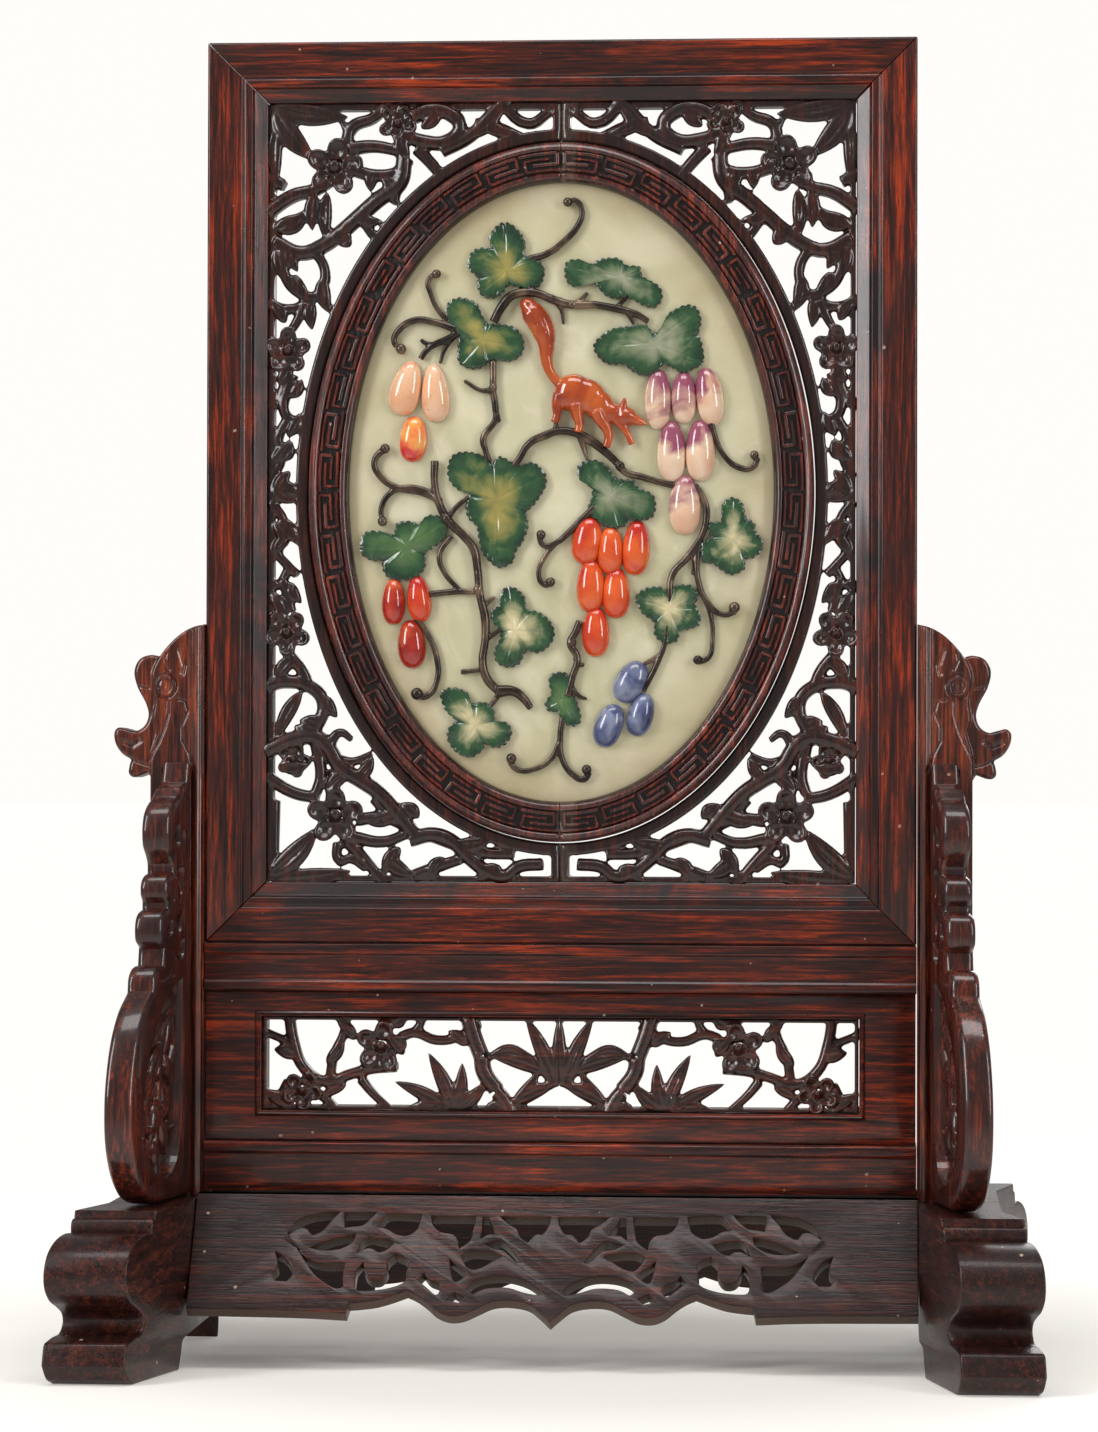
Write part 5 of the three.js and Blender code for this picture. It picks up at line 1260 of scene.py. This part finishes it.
# The head is drawn from the post's inner top corner, outward and down
SNOUT = [(0, 0, 1), (6, -1.6), (12.5, -6), (18.8, -13.4, 1), (23, -12.6), (27.6, -14.4), (29.8, -19.5),
         (28.4, -26), (25.0, -32.5), (23.8, -37.5), (25.4, -41.8), (29, -44), (33, -43.2), (36.4, -42.6),
         (38.1, -45), (37.4, -49.4), (34.7, -53.4), (30.8, -55.8, 1), (31.6, -58), (31.9, -61.6), (29.4, -63.2),
         (23.8, -61.4, 1), (22.3, -64, 1), (0, -64, 1)]
FACE = [(0, 0, 1), (6, -1.6), (12.5, -6), (18.8, -13.4), (22.0, -21), (20.6, -31), (21.4, -39), (19.8, -45),
        (22.3, -54), (22.3, -64, 1), (0, -64, 1)]
HEAD_GROOVES = [
    (0.75, 0.55, [(14.8, -31.5), (15.0, -37), (16.6, -43), (19, -49), (23, -56)]),
    (0.7, 0.5, [(11.5, -31), (8, -31.6), (6.8, -36), (9.4, -42), (9.2, -48), (6.6, -53), (3.9, -60)]),
    (0.9, 0.9, [(10.4, -11), (8.6, -17), (9.2, -20.5)]),
    (0.8, 0.5, [(22.6, -58.6), (27, -57.4), (31, -55.6)]),
    (0.9, 1.1, [(27.4, -48.2), (30.4, -50.2), (34.4, -48.6)]),
    (0.6, 0.5, [(23.6, -26.5), (28.6, -25.4)]),
    (0.6, 0.5, [(14.6, -19), (16.4, -15), (16.0, -12)]),
]
EYE = (16.2, -25.4)
head_snout = upright(fretted_board(soft_line(SNOUT), 9.5, 2.0))
head_face = upright(fretted_board(soft_line(FACE), POST_HALF_DEPTH, 1.1))
head = join_pieces([head_face, head_snout])
head.data.transform(Matrix.Scale(MM, 4))
apply_modifier(head, "REMESH", mode="VOXEL", voxel_size=0.45 * MM, adaptivity=0)
apply_modifier(head, "SMOOTH", factor=0.5, iterations=2)
for vertex in head.data.vertices:
    out, y, down = vertex.co / MM
    if y > -8:
        continue
    raised = bead_relief(out) if out < 7 else 0
    raised -= sum(deep * math.exp(-(distance_to_line((out, down), line) / wide) ** 2)
                  for deep, wide, line in HEAD_GROOVES)
    from_eye = math.hypot((out - EYE[0]) / 0.92, down - EYE[1])
    if from_eye < 8:
        raised += 0.9 * math.exp(-((from_eye - 3.8) / 0.6) ** 2) - 0.8 * math.exp(-((from_eye - 4.9) / 0.45) ** 2)
        raised += 0.9 * math.sqrt(max(0.0, 1 - (from_eye / 2.9) ** 2))
        raised -= 0.7 * math.exp(-(abs(out - EYE[0]) / 0.4) ** 2) * math.exp(-(from_eye / 1.8) ** 2)
    vertex.co.y -= raised * MM
head.data.transform(Matrix.Translation((POST_INNER * MM, 0, POST_TOP * MM)))
head.data.polygons.foreach_set("use_smooth", [True] * len(head.data.polygons))
post_right = join_pieces([post_shaft, head])
post_timber = timber_finish("post_timber", "Z", DARK_RED, (0.10, 0.018, 0.008), (0.30, 0.055, 0.014),
                            blackness=0.5, scuffs_and_glints=0.5, coat=0.5)
post_left = mirrored_copy(post_right)
finish_piece(post_right, "post_right_carved", "red_wood", post_timber, "post_right")
finish_piece(post_left, "post_left_carved", "red_wood", post_timber, "post_left")


# Spandrels: pierced boards that brace each post, front and back. The outer edge is a full round
# that steps in rolls down to a large bulge, and the window in the bulge is filled with leaf carving.

SPANDREL_START = 12.3
SPANDREL_MIDDLE = 156.95
SPANDREL_HALF = 6
SPANDREL_SPLAY = math.tan(math.radians(10.5))
SPANDREL_OUTLINE = [(0, 244, 1), (3, 244, 1), (4.2, 239.5), (5, 236, 1), (11, 234), (15, 231), (16.5, 229.5, 1),
                    (22, 227), (26, 222.5), (27.6, 216), (26.5, 209.5), (22.8, 205, 1), (21.2, 202.5),
                    (21, 199.5, 1), (26.4, 198), (29, 194.4), (29, 190), (27, 187, 1), (27, 185, 1), (33, 183),
                    (35.6, 178), (35, 171.5), (31, 168.4, 1), (32, 162, 1), (39, 161.5), (43, 157.5), (44, 152, 1),
                    (54, 145), (62, 135), (67.4, 122), (70, 108), (69, 92), (63, 79), (54, 70.5), (44, 66.8),
                    (34, 66.4, 1), (0, 66.4, 1)]
SPANDREL_WINDOW = [(11, 156, 1), (22, 153), (33, 146.5), (44, 135), (53, 121), (57, 106), (54, 91), (45, 80.5),
                   (32, 76), (20, 80), (13, 92), (10.6, 112), (10.2, 134)]
SPANDREL_HOLES = [[(15, 219), (20.5, 215.5), (19.5, 210.5), (14.6, 211.5)], [(8, 213), (11, 217), (12, 211), (9.2, 204)],
                  [(10, 200), (16, 203), (17.6, 196), (13, 190)], [(20, 192.5), (23.6, 191), (21.4, 187.5)],
                  [(9, 188), (12, 184), (19, 181), (14, 175)], [(23, 180), (28.4, 178.4), (29, 173.6), (23.6, 174.6)],
                  [(9, 172), (16, 170), (22, 168), (15, 163), (9.6, 166)]]
SPANDREL_LEAVES = [
    (7.5, 0.4, ((12, 150), (30, 138))), (6.5, 0.0, ((14, 143), (22, 124))), (7.0, 0.8, ((28, 142), (47, 126))),
    (6.5, 0.2, ((24, 126), (12, 112))), (8.0, 0.6, ((30, 130), (45, 112))), (7.0, 0.3, ((34, 118), (56, 106))),
    (7.5, 0.0, ((28, 116), (14, 98))), (7.0, 0.6, ((34, 108), (40, 90))), (7.5, 0.2, ((44, 104), (54, 92))),
    (6.5, 0.4, ((30, 100), (20, 84))), (6.5, 0.0, ((36, 92), (30, 77))), (6.0, 0.3, ((46, 94), (44, 80))),
    (6.0, 0.5, ((22, 106), (33, 98))), (5.5, 0.2, ((38, 134), (36, 148))),
]
SPANDREL_STEMS = [
    (4.6, 0.8, 0.2, [(12, 154), (20, 144), (28, 132), (31, 118), (32, 104), (34, 90), (33, 77)]),
    (3.8, 0.8, 0.0, [(10, 128), (18, 120), (29, 120)]), (3.8, 0.8, 0.2, [(31, 116), (42, 118), (55, 118)]),
    (3.8, 0.9, 0.0, [(32, 102), (22, 96), (12, 96)]), (3.6, 0.9, 0.3, [(33, 96), (44, 96), (56, 98)]),
    (3.6, 0.9, 0.0, [(28, 132), (38, 134), (45, 134)]), (3.4, 0.9, 0.0, [(34, 88), (44, 86), (52, 88)]),
]


def stand_spandrel(piece):
    """Turns a drawing of (distance from the post, height) to its place on the right front corner"""
    lean = Matrix(((SPANDREL_SPLAY, 1, 0, SPANDREL_MIDDLE), (-1, 0, 0, -SPANDREL_START), (0, 0, 1, 0), (0, 0, 0, 1)))
    piece.data.transform(lean)
    piece.data.transform(Matrix.Scale(MM, 4))
    return piece


def cut_away(piece, cutters):
    cutter = join_pieces(cutters)
    bpy.context.view_layer.objects.active = piece
    saw = piece.modifiers.new("saw", "BOOLEAN")
    saw.operation = "DIFFERENCE"
    saw.solver = "EXACT"
    saw.object = cutter
    bpy.ops.object.modifier_apply(modifier=saw.name)
    bpy.data.objects.remove(cutter)
    return piece


def easing(piece, width, angle=35):
    apply_modifier(piece, "BEVEL", width=width, segments=2, limit_method="ANGLE", angle_limit=math.radians(angle))
    bpy.ops.object.select_all(action="DESELECT")
    piece.select_set(True)
    bpy.ops.object.shade_smooth_by_angle(angle=math.radians(38))


spandrel = upright(fretted_board(soft_line(SPANDREL_OUTLINE, steps=6), SPANDREL_HALF, 2.6))
clean_mesh(spandrel, 0.01 / MM)
windows = [upright(fretted_board(soft_line(line), 12, 0.01)) for line in (SPANDREL_WINDOW, *SPANDREL_HOLES)]
for window in windows:
    clean_mesh(window, 0.01 / MM)
spandrel = cut_away(spandrel, windows)
easing(spandrel, 0.45)
leaf_work = [stem(points, width, taper, lift) for width, taper, lift, points in SPANDREL_STEMS]
leaf_work += [leaf(stalk, tip, width, lift) for width, lift, (stalk, tip) in SPANDREL_LEAVES]
leaf_work = join_pieces(leaf_work)
for vertex in leaf_work.data.vertices:
    vertex.co.y *= 1.5
apply_modifier(leaf_work, "REMESH", mode="VOXEL", voxel_size=0.6, adaptivity=0)
apply_modifier(leaf_work, "SMOOTH", factor=0.5, iterations=2)
for vertex in leaf_work.data.vertices:
    vertex.co.y = (vertex.co.y * 1.1 + (1.0 if vertex.co.y > 0 else -1.0)) * (1.0 if vertex.co.y > 0 else 0.95)
leaf_work.data.polygons.foreach_set("use_smooth", [True] * len(leaf_work.data.polygons))
spandrel = stand_spandrel(join_pieces([spandrel, leaf_work]))
spandrel_timber = timber_finish("spandrel_timber", "Z", (0.018, 0.006, 0.005), (0.055, 0.011, 0.007),
                                (0.20, 0.03, 0.010), blackness=0.7, scuffs_and_glints=0.5, coat=0.6)
spandrel_twins = {"front_right": spandrel, "front_left": mirrored_copy(spandrel),
                  "back_right": mirrored_copy(spandrel, (0, 1, 0))}
spandrel_twins["back_left"] = mirrored_copy(spandrel_twins["back_right"])
for corner, piece in spandrel_twins.items():
    finish_piece(piece, "spandrel_" + corner + "_carved", "red_wood", spandrel_timber, "spandrel_" + corner)


# Feet: solid blocks with a moulded side, a roll above a hollow above a flared pad, straight between
# the posts and splayed outward at both ends. Dark, with pale specks, partly scuffs and partly painted highlights.

FOOT_INNER = 147
FOOT_WIDTH = 33
FOOT_STRAIGHT = 45
FOOT_SPLAY = math.tan(math.radians(14))
FOOT_END = [(77, 66, 1), (77.6, 63, 1), (79.8, 62.4), (80.8, 60), (80.8, 57.4, 1), (88, 57.6), (96, 55.6),
            (102.4, 51.4), (105.8, 45), (105.4, 38), (101, 32.6), (94.5, 29.4), (89.4, 26.4), (88.2, 22.6),
            (91.5, 19), (98, 18.2), (104.5, 16.8, 1), (106, 15), (107.6, 8, 1), (103.6, 2.4), (98.4, 0, 1),
            (54, 0, 1), (51.6, 6), (50, 11), (45, 13, 1)]
foot_line = soft_line([*FOOT_END, *[(-a, z, *corner) for a, z, *corner in reversed(FOOT_END)]])
foot_right = fretted_board(foot_line, FOOT_WIDTH / 2, 0.9)
bpy.ops.object.mode_set(mode="EDIT")
for place in (-FOOT_STRAIGHT, FOOT_STRAIGHT):
    bpy.ops.mesh.select_all(action="SELECT")
    bpy.ops.mesh.bisect(plane_co=(place, 0, 0), plane_no=(1, 0, 0))
bpy.ops.object.mode_set(mode="OBJECT")
for vertex in foot_right.data.vertices:
    along, z, across = vertex.co
    splay = max(0, abs(along) - FOOT_STRAIGHT) * FOOT_SPLAY
    vertex.co = ((FOOT_INNER + FOOT_WIDTH / 2 + across + splay) * MM, along * MM, z * MM)
clean_mesh(foot_right)
bpy.ops.object.shade_smooth_by_angle(angle=math.radians(36))
dark_timber = {way: timber_finish("dark_timber_" + way.lower(), way, (0.009, 0.0038, 0.0034),
                                  (0.030, 0.0075, 0.0052), (0.10, 0.020, 0.010), blackness=0.55, scuffs_and_glints=0.9,
                                  relief_depth=0.3, coat=0.16, sawn_or_shade_colour=(0.07, 0.036, 0.02)) for way in "XY"}
foot_left = mirrored_copy(foot_right)
finish_piece(foot_right, "foot_right_moulded", "dark_wood", dark_timber["Y"], "foot_right")
finish_piece(foot_left, "foot_left_moulded", "dark_wood", dark_timber["Y"], "foot_left")


# Rails and waist panel: planed timbers across the stand, and a raised bead round the panel's opening.

for member in ("stand_top_rail", "stand_bottom_rail"):
    finish_piece(planed_copy(member, 0.35), member + "_moulded", "red_wood", red_timber["X"], member)
waist = planed_copy("waist_panel", 0.3)
WAIST_HALF_X = 122.8
WAIST_LOW = 101
WAIST_HIGH = 140
WAIST_FRONT = -9
BEAD = [(0.2, WAIST_FRONT + 0.6), (0.4, WAIST_FRONT - 0.5), (1.0, WAIST_FRONT - 1.0), (1.7, WAIST_FRONT - 0.8),
        (2.3, WAIST_FRONT - 0.1), (2.4, WAIST_FRONT + 0.6)]
corners = [(WAIST_HALF_X, WAIST_LOW), (WAIST_HALF_X, WAIST_HIGH), (-WAIST_HALF_X, WAIST_HIGH),
           (-WAIST_HALF_X, WAIST_LOW)]
bead_stations = [(x, z, math.copysign(1, x), 1 if z > 120 else -1) for x, z in [*corners, corners[0]]]
bead = run_moulding(BEAD, bead_stations)
bpy.ops.object.shade_smooth_by_angle(angle=math.radians(50))
waist = join_pieces([waist, bead])
finish_piece(waist, "waist_panel_planed", "red_wood", red_timber["X"], "waist_panel")


# Waist carving: a pierced strip let into the opening. An orchid grows from the middle, with bamboo,
# a fan of leaves and flowering plum branches on each side.

WAIST_STEMS = [
    (3.4, 1.0, 0.4, [(0, 114), (4, 112), (12, 107), (21, 103)]),
    (3.6, 0.7, 0.2, [(2, 113), (7, 118), (14, 124), (21, 127), (29, 123)]),
    (5.6, 1.0, 0.5, [(38, 141), (35, 131), (32.3, 124)]), (5.6, 1.0, 0.5, [(32, 123), (31, 117), (26, 110)]),
    (5.2, 1.0, 0.5, [(25.6, 109), (23, 106), (20, 100)]),
    (3.6, 0.9, 0.2, [(66, 131), (60, 133), (50.6, 130), (41.4, 131.5), (33, 137)]),
    (3.6, 0.7, 0.4, [(82, 114), (77, 108), (69, 101)]), (3.8, 1.0, 0.3, [(67, 119), (78, 118), (87, 115.5), (96, 112.6),
                                                                        (105.5, 118), (110, 129), (112, 142)]),
    (3.4, 0.9, 0.2, [(95, 113), (93, 124), (89, 133), (88, 142)]), (3.2, 0.7, 0.2, [(112, 113), (118, 104), (123, 102)]),
    (3.4, 0.8, 0.3, [(80, 122), (80, 116)]), (3.2, 0.8, 0.1, [(60, 133), (57, 138), (58, 142)]),
    (3.0, 0.9, 0.1, [(109, 128), (117, 131), (124, 134)]), (3.2, 0.9, 0.1, [(100, 108), (94, 103), (92, 99)]),
]
WAIST_LEAVES = [
    (7.0, 0.8, ((1, 111), (0, 141))), (6.0, 0.4, ((2, 112), (14, 140))), (5.6, 0.6, ((3, 112), (21, 103))),
    (5.4, 0.2, ((5, 117), (29, 124))), (6.0, 0.6, ((43, 100), (54, 125))), (5.4, 0.3, ((43, 100), (40, 121))),
    (5.6, 0.2, ((43, 101), (30, 113))), (5.6, 0.2, ((44, 101), (68, 113))), (5.0, 0.4, ((44, 101), (62, 103))),
    (5.0, 0.2, ((96, 120), (89, 131))), (5.8, 0.3, ((109, 123), (118, 126))), (4.6, 0.2, ((20, 103), (8, 118))),
    (5.0, 0.2, ((70, 136), (63, 141))), (4.6, 0.2, ((84, 130), (92, 138))), (4.8, 0.2, ((60, 104), (52, 99))),
    (5.0, 0.3, ((20, 101), (30, 104))), (5.0, 0.2, ((112, 102), (123, 109))),
    (5.0, 0.4, ((64, 124), (72, 133))), (4.6, 0.2, ((88, 112), (98, 106))), (4.8, 0.3, ((38, 128), (46, 134))),
]
waist_parts = [stem(points, width * 1.25, taper, lift) for width, taper, lift, points in WAIST_STEMS]
waist_parts += [leaf(stalk, tip, width * 1.15, lift + 0.4) for width, lift, (stalk, tip) in WAIST_LEAVES]
for x, z, radius, turn in [(73.5, 127.4, 10.6, 10), (106, 109, 8.2, 30)]:
    waist_parts += blossom(x, z, radius, turn)
waist_edges = [slab(-1, WAIST_HALF_X - 0.3, WAIST_LOW + 0.3, WAIST_LOW + 1.9, -5.6, 5),
               slab(-1, WAIST_HALF_X - 0.3, WAIST_HIGH - 1.9, WAIST_HIGH - 0.3, -5.6, 5),
               slab(WAIST_HALF_X - 1.9, WAIST_HALF_X - 0.3, WAIST_LOW, WAIST_HIGH, -5.6, 5)]
waist_carving = carve(waist_parts, -3.6, 5, 0, 0.6, 0.6, waist_edges)
bpy.ops.object.mode_set(mode="EDIT")
for height, way in ((WAIST_LOW + 0.3, -1), (WAIST_HIGH - 0.3, 1)):
    bpy.ops.mesh.select_all(action="SELECT")
    bpy.ops.mesh.bisect(plane_co=(0, 0, height * MM), plane_no=(0, 0, way), use_fill=True, clear_outer=True)
bpy.ops.object.mode_set(mode="OBJECT")
split_at_middle(waist_carving)
mark_sawn(waist_carving, "POINT")
waist_carving = join_pieces([waist_carving, mirrored_copy(waist_carving)])
waist_timber = timber_finish("waist_timber", "X", (0.012, 0.0045, 0.0035), (0.045, 0.010, 0.006),
                             (0.12, 0.022, 0.010), blackness=0.45, scuffs_and_glints=0.3, coat=0.6, sawn_or_shade_colour=(0.17, 0.105, 0.058))
finish_piece(waist_carving, "waist_carving_carved", "carved_wood", waist_timber, "waist_carving")


# Aprons: boards that slant outward between the feet. The front one is fretted with scrolls and
# leaves over a cusped lower edge; the back one, out of sight, is taken as plain.

APRON_SLANT = 34
APRON_HALF = 146.7
APRON_HALF_THICKNESS = 3.5
APRON_PLACE = (0, -16.2, 68.1)
# The lower edge and each hole's edge, as (distance from the middle, distance down the slope)
CUSPS = [
    (0, 61.5, 1), (4.5, 57), (9, 53.5), (16, 52), (23, 52.5), (29, 55.5), (35, 58.5), (40.5, 59), (45.5, 57),
    (50, 53), (54, 50), (58, 48, 1), (64, 50.5), (70, 52.5), (76, 53.5), (81, 54, 1), (82, 58.5, 1),
    (104, 57.5), (APRON_HALF, 57, 1)]
FRETWORK = [
    [(108.5, 23.5, 1), (105.5, 18), (100, 14.5), (93, 13), (87.5, 12.5, 1), (90.5, 16), (94, 21), (98, 23),
     (100, 20.5), (103.5, 20)],
    [(85.5, 13, 1), (72.5, 12.5, 1), (77.5, 18), (82, 19), (85, 19.5, 1)],
    [(72, 19, 1), (69.5, 15.5), (66, 13), (54, 13.5, 1), (55, 17.5), (56, 20.5), (60, 23), (64.5, 22), (67.5, 20)],
    [(50, 14, 1), (49, 18), (46, 21), (41, 22), (38.5, 25), (38, 28.5, 1), (34, 25), (33, 20.5), (32, 14, 1)],
    [(29, 14.5, 1), (26.5, 14.5, 1), (25, 18), (22, 22, 1), (26.5, 22), (29.5, 24, 1), (29, 19)],
    [(22, 14, 1), (1.5, 14, 1), (2.5, 18), (4.5, 21.5), (7.5, 22), (10.5, 25.5, 1), (13.5, 23), (15, 19.5),
     (18, 17.5)],
    [(98.5, 29, 1), (89.5, 25), (80.5, 22.5, 1), (81.5, 26), (86, 29), (92.5, 30)],
    [(79.5, 31, 1), (77.5, 26), (74.5, 24), (69, 25), (64.5, 26, 1), (67, 29), (70.5, 30.5), (73, 29), (76, 29)],
    [(112.5, 31, 1), (109, 33), (106, 37), (105, 41), (107, 44, 1), (111.5, 44, 1), (113, 41), (111, 38),
     (111.5, 34)],
    [(103.5, 29.5, 1), (100.5, 33), (94, 36), (84, 36, 1), (84.5, 41), (84, 46.5, 1), (87, 47), (91.5, 44.5),
     (96.5, 40)],
    [(76.5, 35, 1), (79, 39.5), (79, 46.5), (76, 48), (66.5, 47), (59.5, 44), (59, 39.5), (58.5, 34.5),
     (63.5, 31.5, 1), (66.5, 35), (66.5, 39.5), (69, 43), (73, 43), (75.5, 40)],
    [(41.5, 33.5, 1), (39.5, 35.5), (35, 39.5), (35.5, 41.5), (39, 43.5), (40.5, 39.5)],
    [(37, 32, 1), (32.5, 30), (24.5, 30.5), (20.5, 32, 1), (24, 34), (28.5, 37), (32.5, 38), (35, 36)],
    [(28, 26.5, 1), (24, 25.5), (21, 25), (17, 28.5), (12.5, 34.5, 1), (14.5, 34.5), (17.5, 31.5), (20.5, 29),
     (24, 28.5)],
    [(54, 43, 1), (51.5, 40, 1), (49, 43), (45, 45), (45, 48), (46.5, 49.5), (50, 46.5)],
    [(39, 48.5, 1), (35, 50.5, 1), (37, 53, 1), (42, 52, 1)],
    [(34.5, 47, 1), (31, 43), (24.5, 41), (17, 41), (9.5, 43.5), (4.5, 47.5), (5, 49), (7, 49), (11.5, 48),
     (18, 46), (26.5, 46.5), (31.5, 49, 1)],
]


def slanted(piece):
    """Lays a board drawn as (x, distance down) on the apron's slope"""
    piece.data.transform(Matrix.Translation((0, 0, APRON_HALF_THICKNESS)))
    stood = Matrix.Rotation(math.radians(90 - APRON_SLANT), 4, "X")
    piece.data.transform(Matrix.Translation(APRON_PLACE) @ stood)
    piece.data.transform(Matrix.Scale(MM, 4))
    return piece


def mirror_line(line):
    return [(-x, down, *corner) for x, down, *corner in reversed(line)]


def downward(line):
    return [(x, -down, *corner) for x, down, *corner in line]


cusp_line = downward([(APRON_HALF, -8, 1), (-APRON_HALF, -8, 1), *mirror_line(CUSPS)[:-1], *CUSPS])
apron_board = fretted_board(soft_line(cusp_line), APRON_HALF_THICKNESS, 0.5)
apron_back = mirrored_copy(slanted(apron_board), (0, 1, 0))
bpy.data.objects.remove(apron_board)
fret_lines = []
for hole in FRETWORK:
    fret_lines += [soft_line(downward(hole)), soft_line(downward(mirror_line(hole)))]
apron_front = slanted(fretted_board(soft_line(cusp_line), APRON_HALF_THICKNESS, 0.5, fret_lines, turn=35))
for apron in (apron_front, apron_back):
    clean_mesh(apron)
    bpy.context.view_layer.objects.active = apron
    bpy.ops.object.mode_set(mode="EDIT")
    bpy.ops.mesh.select_all(action="SELECT")
    bpy.ops.mesh.bisect(plane_co=(0, 0, APRON_PLACE[2] * MM), plane_no=(0, 0, 1), use_fill=True, clear_outer=True)
    bpy.ops.object.mode_set(mode="OBJECT")
    bpy.ops.object.select_all(action="DESELECT")
    apron.select_set(True)
    bpy.ops.object.shade_smooth_by_angle(angle=math.radians(40))
slope = math.radians(APRON_SLANT)
mark_sawn(apron_front, "FACE", (0, -math.cos(slope), math.sin(slope)))
finish_piece(apron_front, "apron_front_fretted", "dark_wood", dark_timber["X"], "apron_front")
finish_piece(apron_back, "apron_back_plain", "dark_wood", dark_timber["X"], "apron_back")
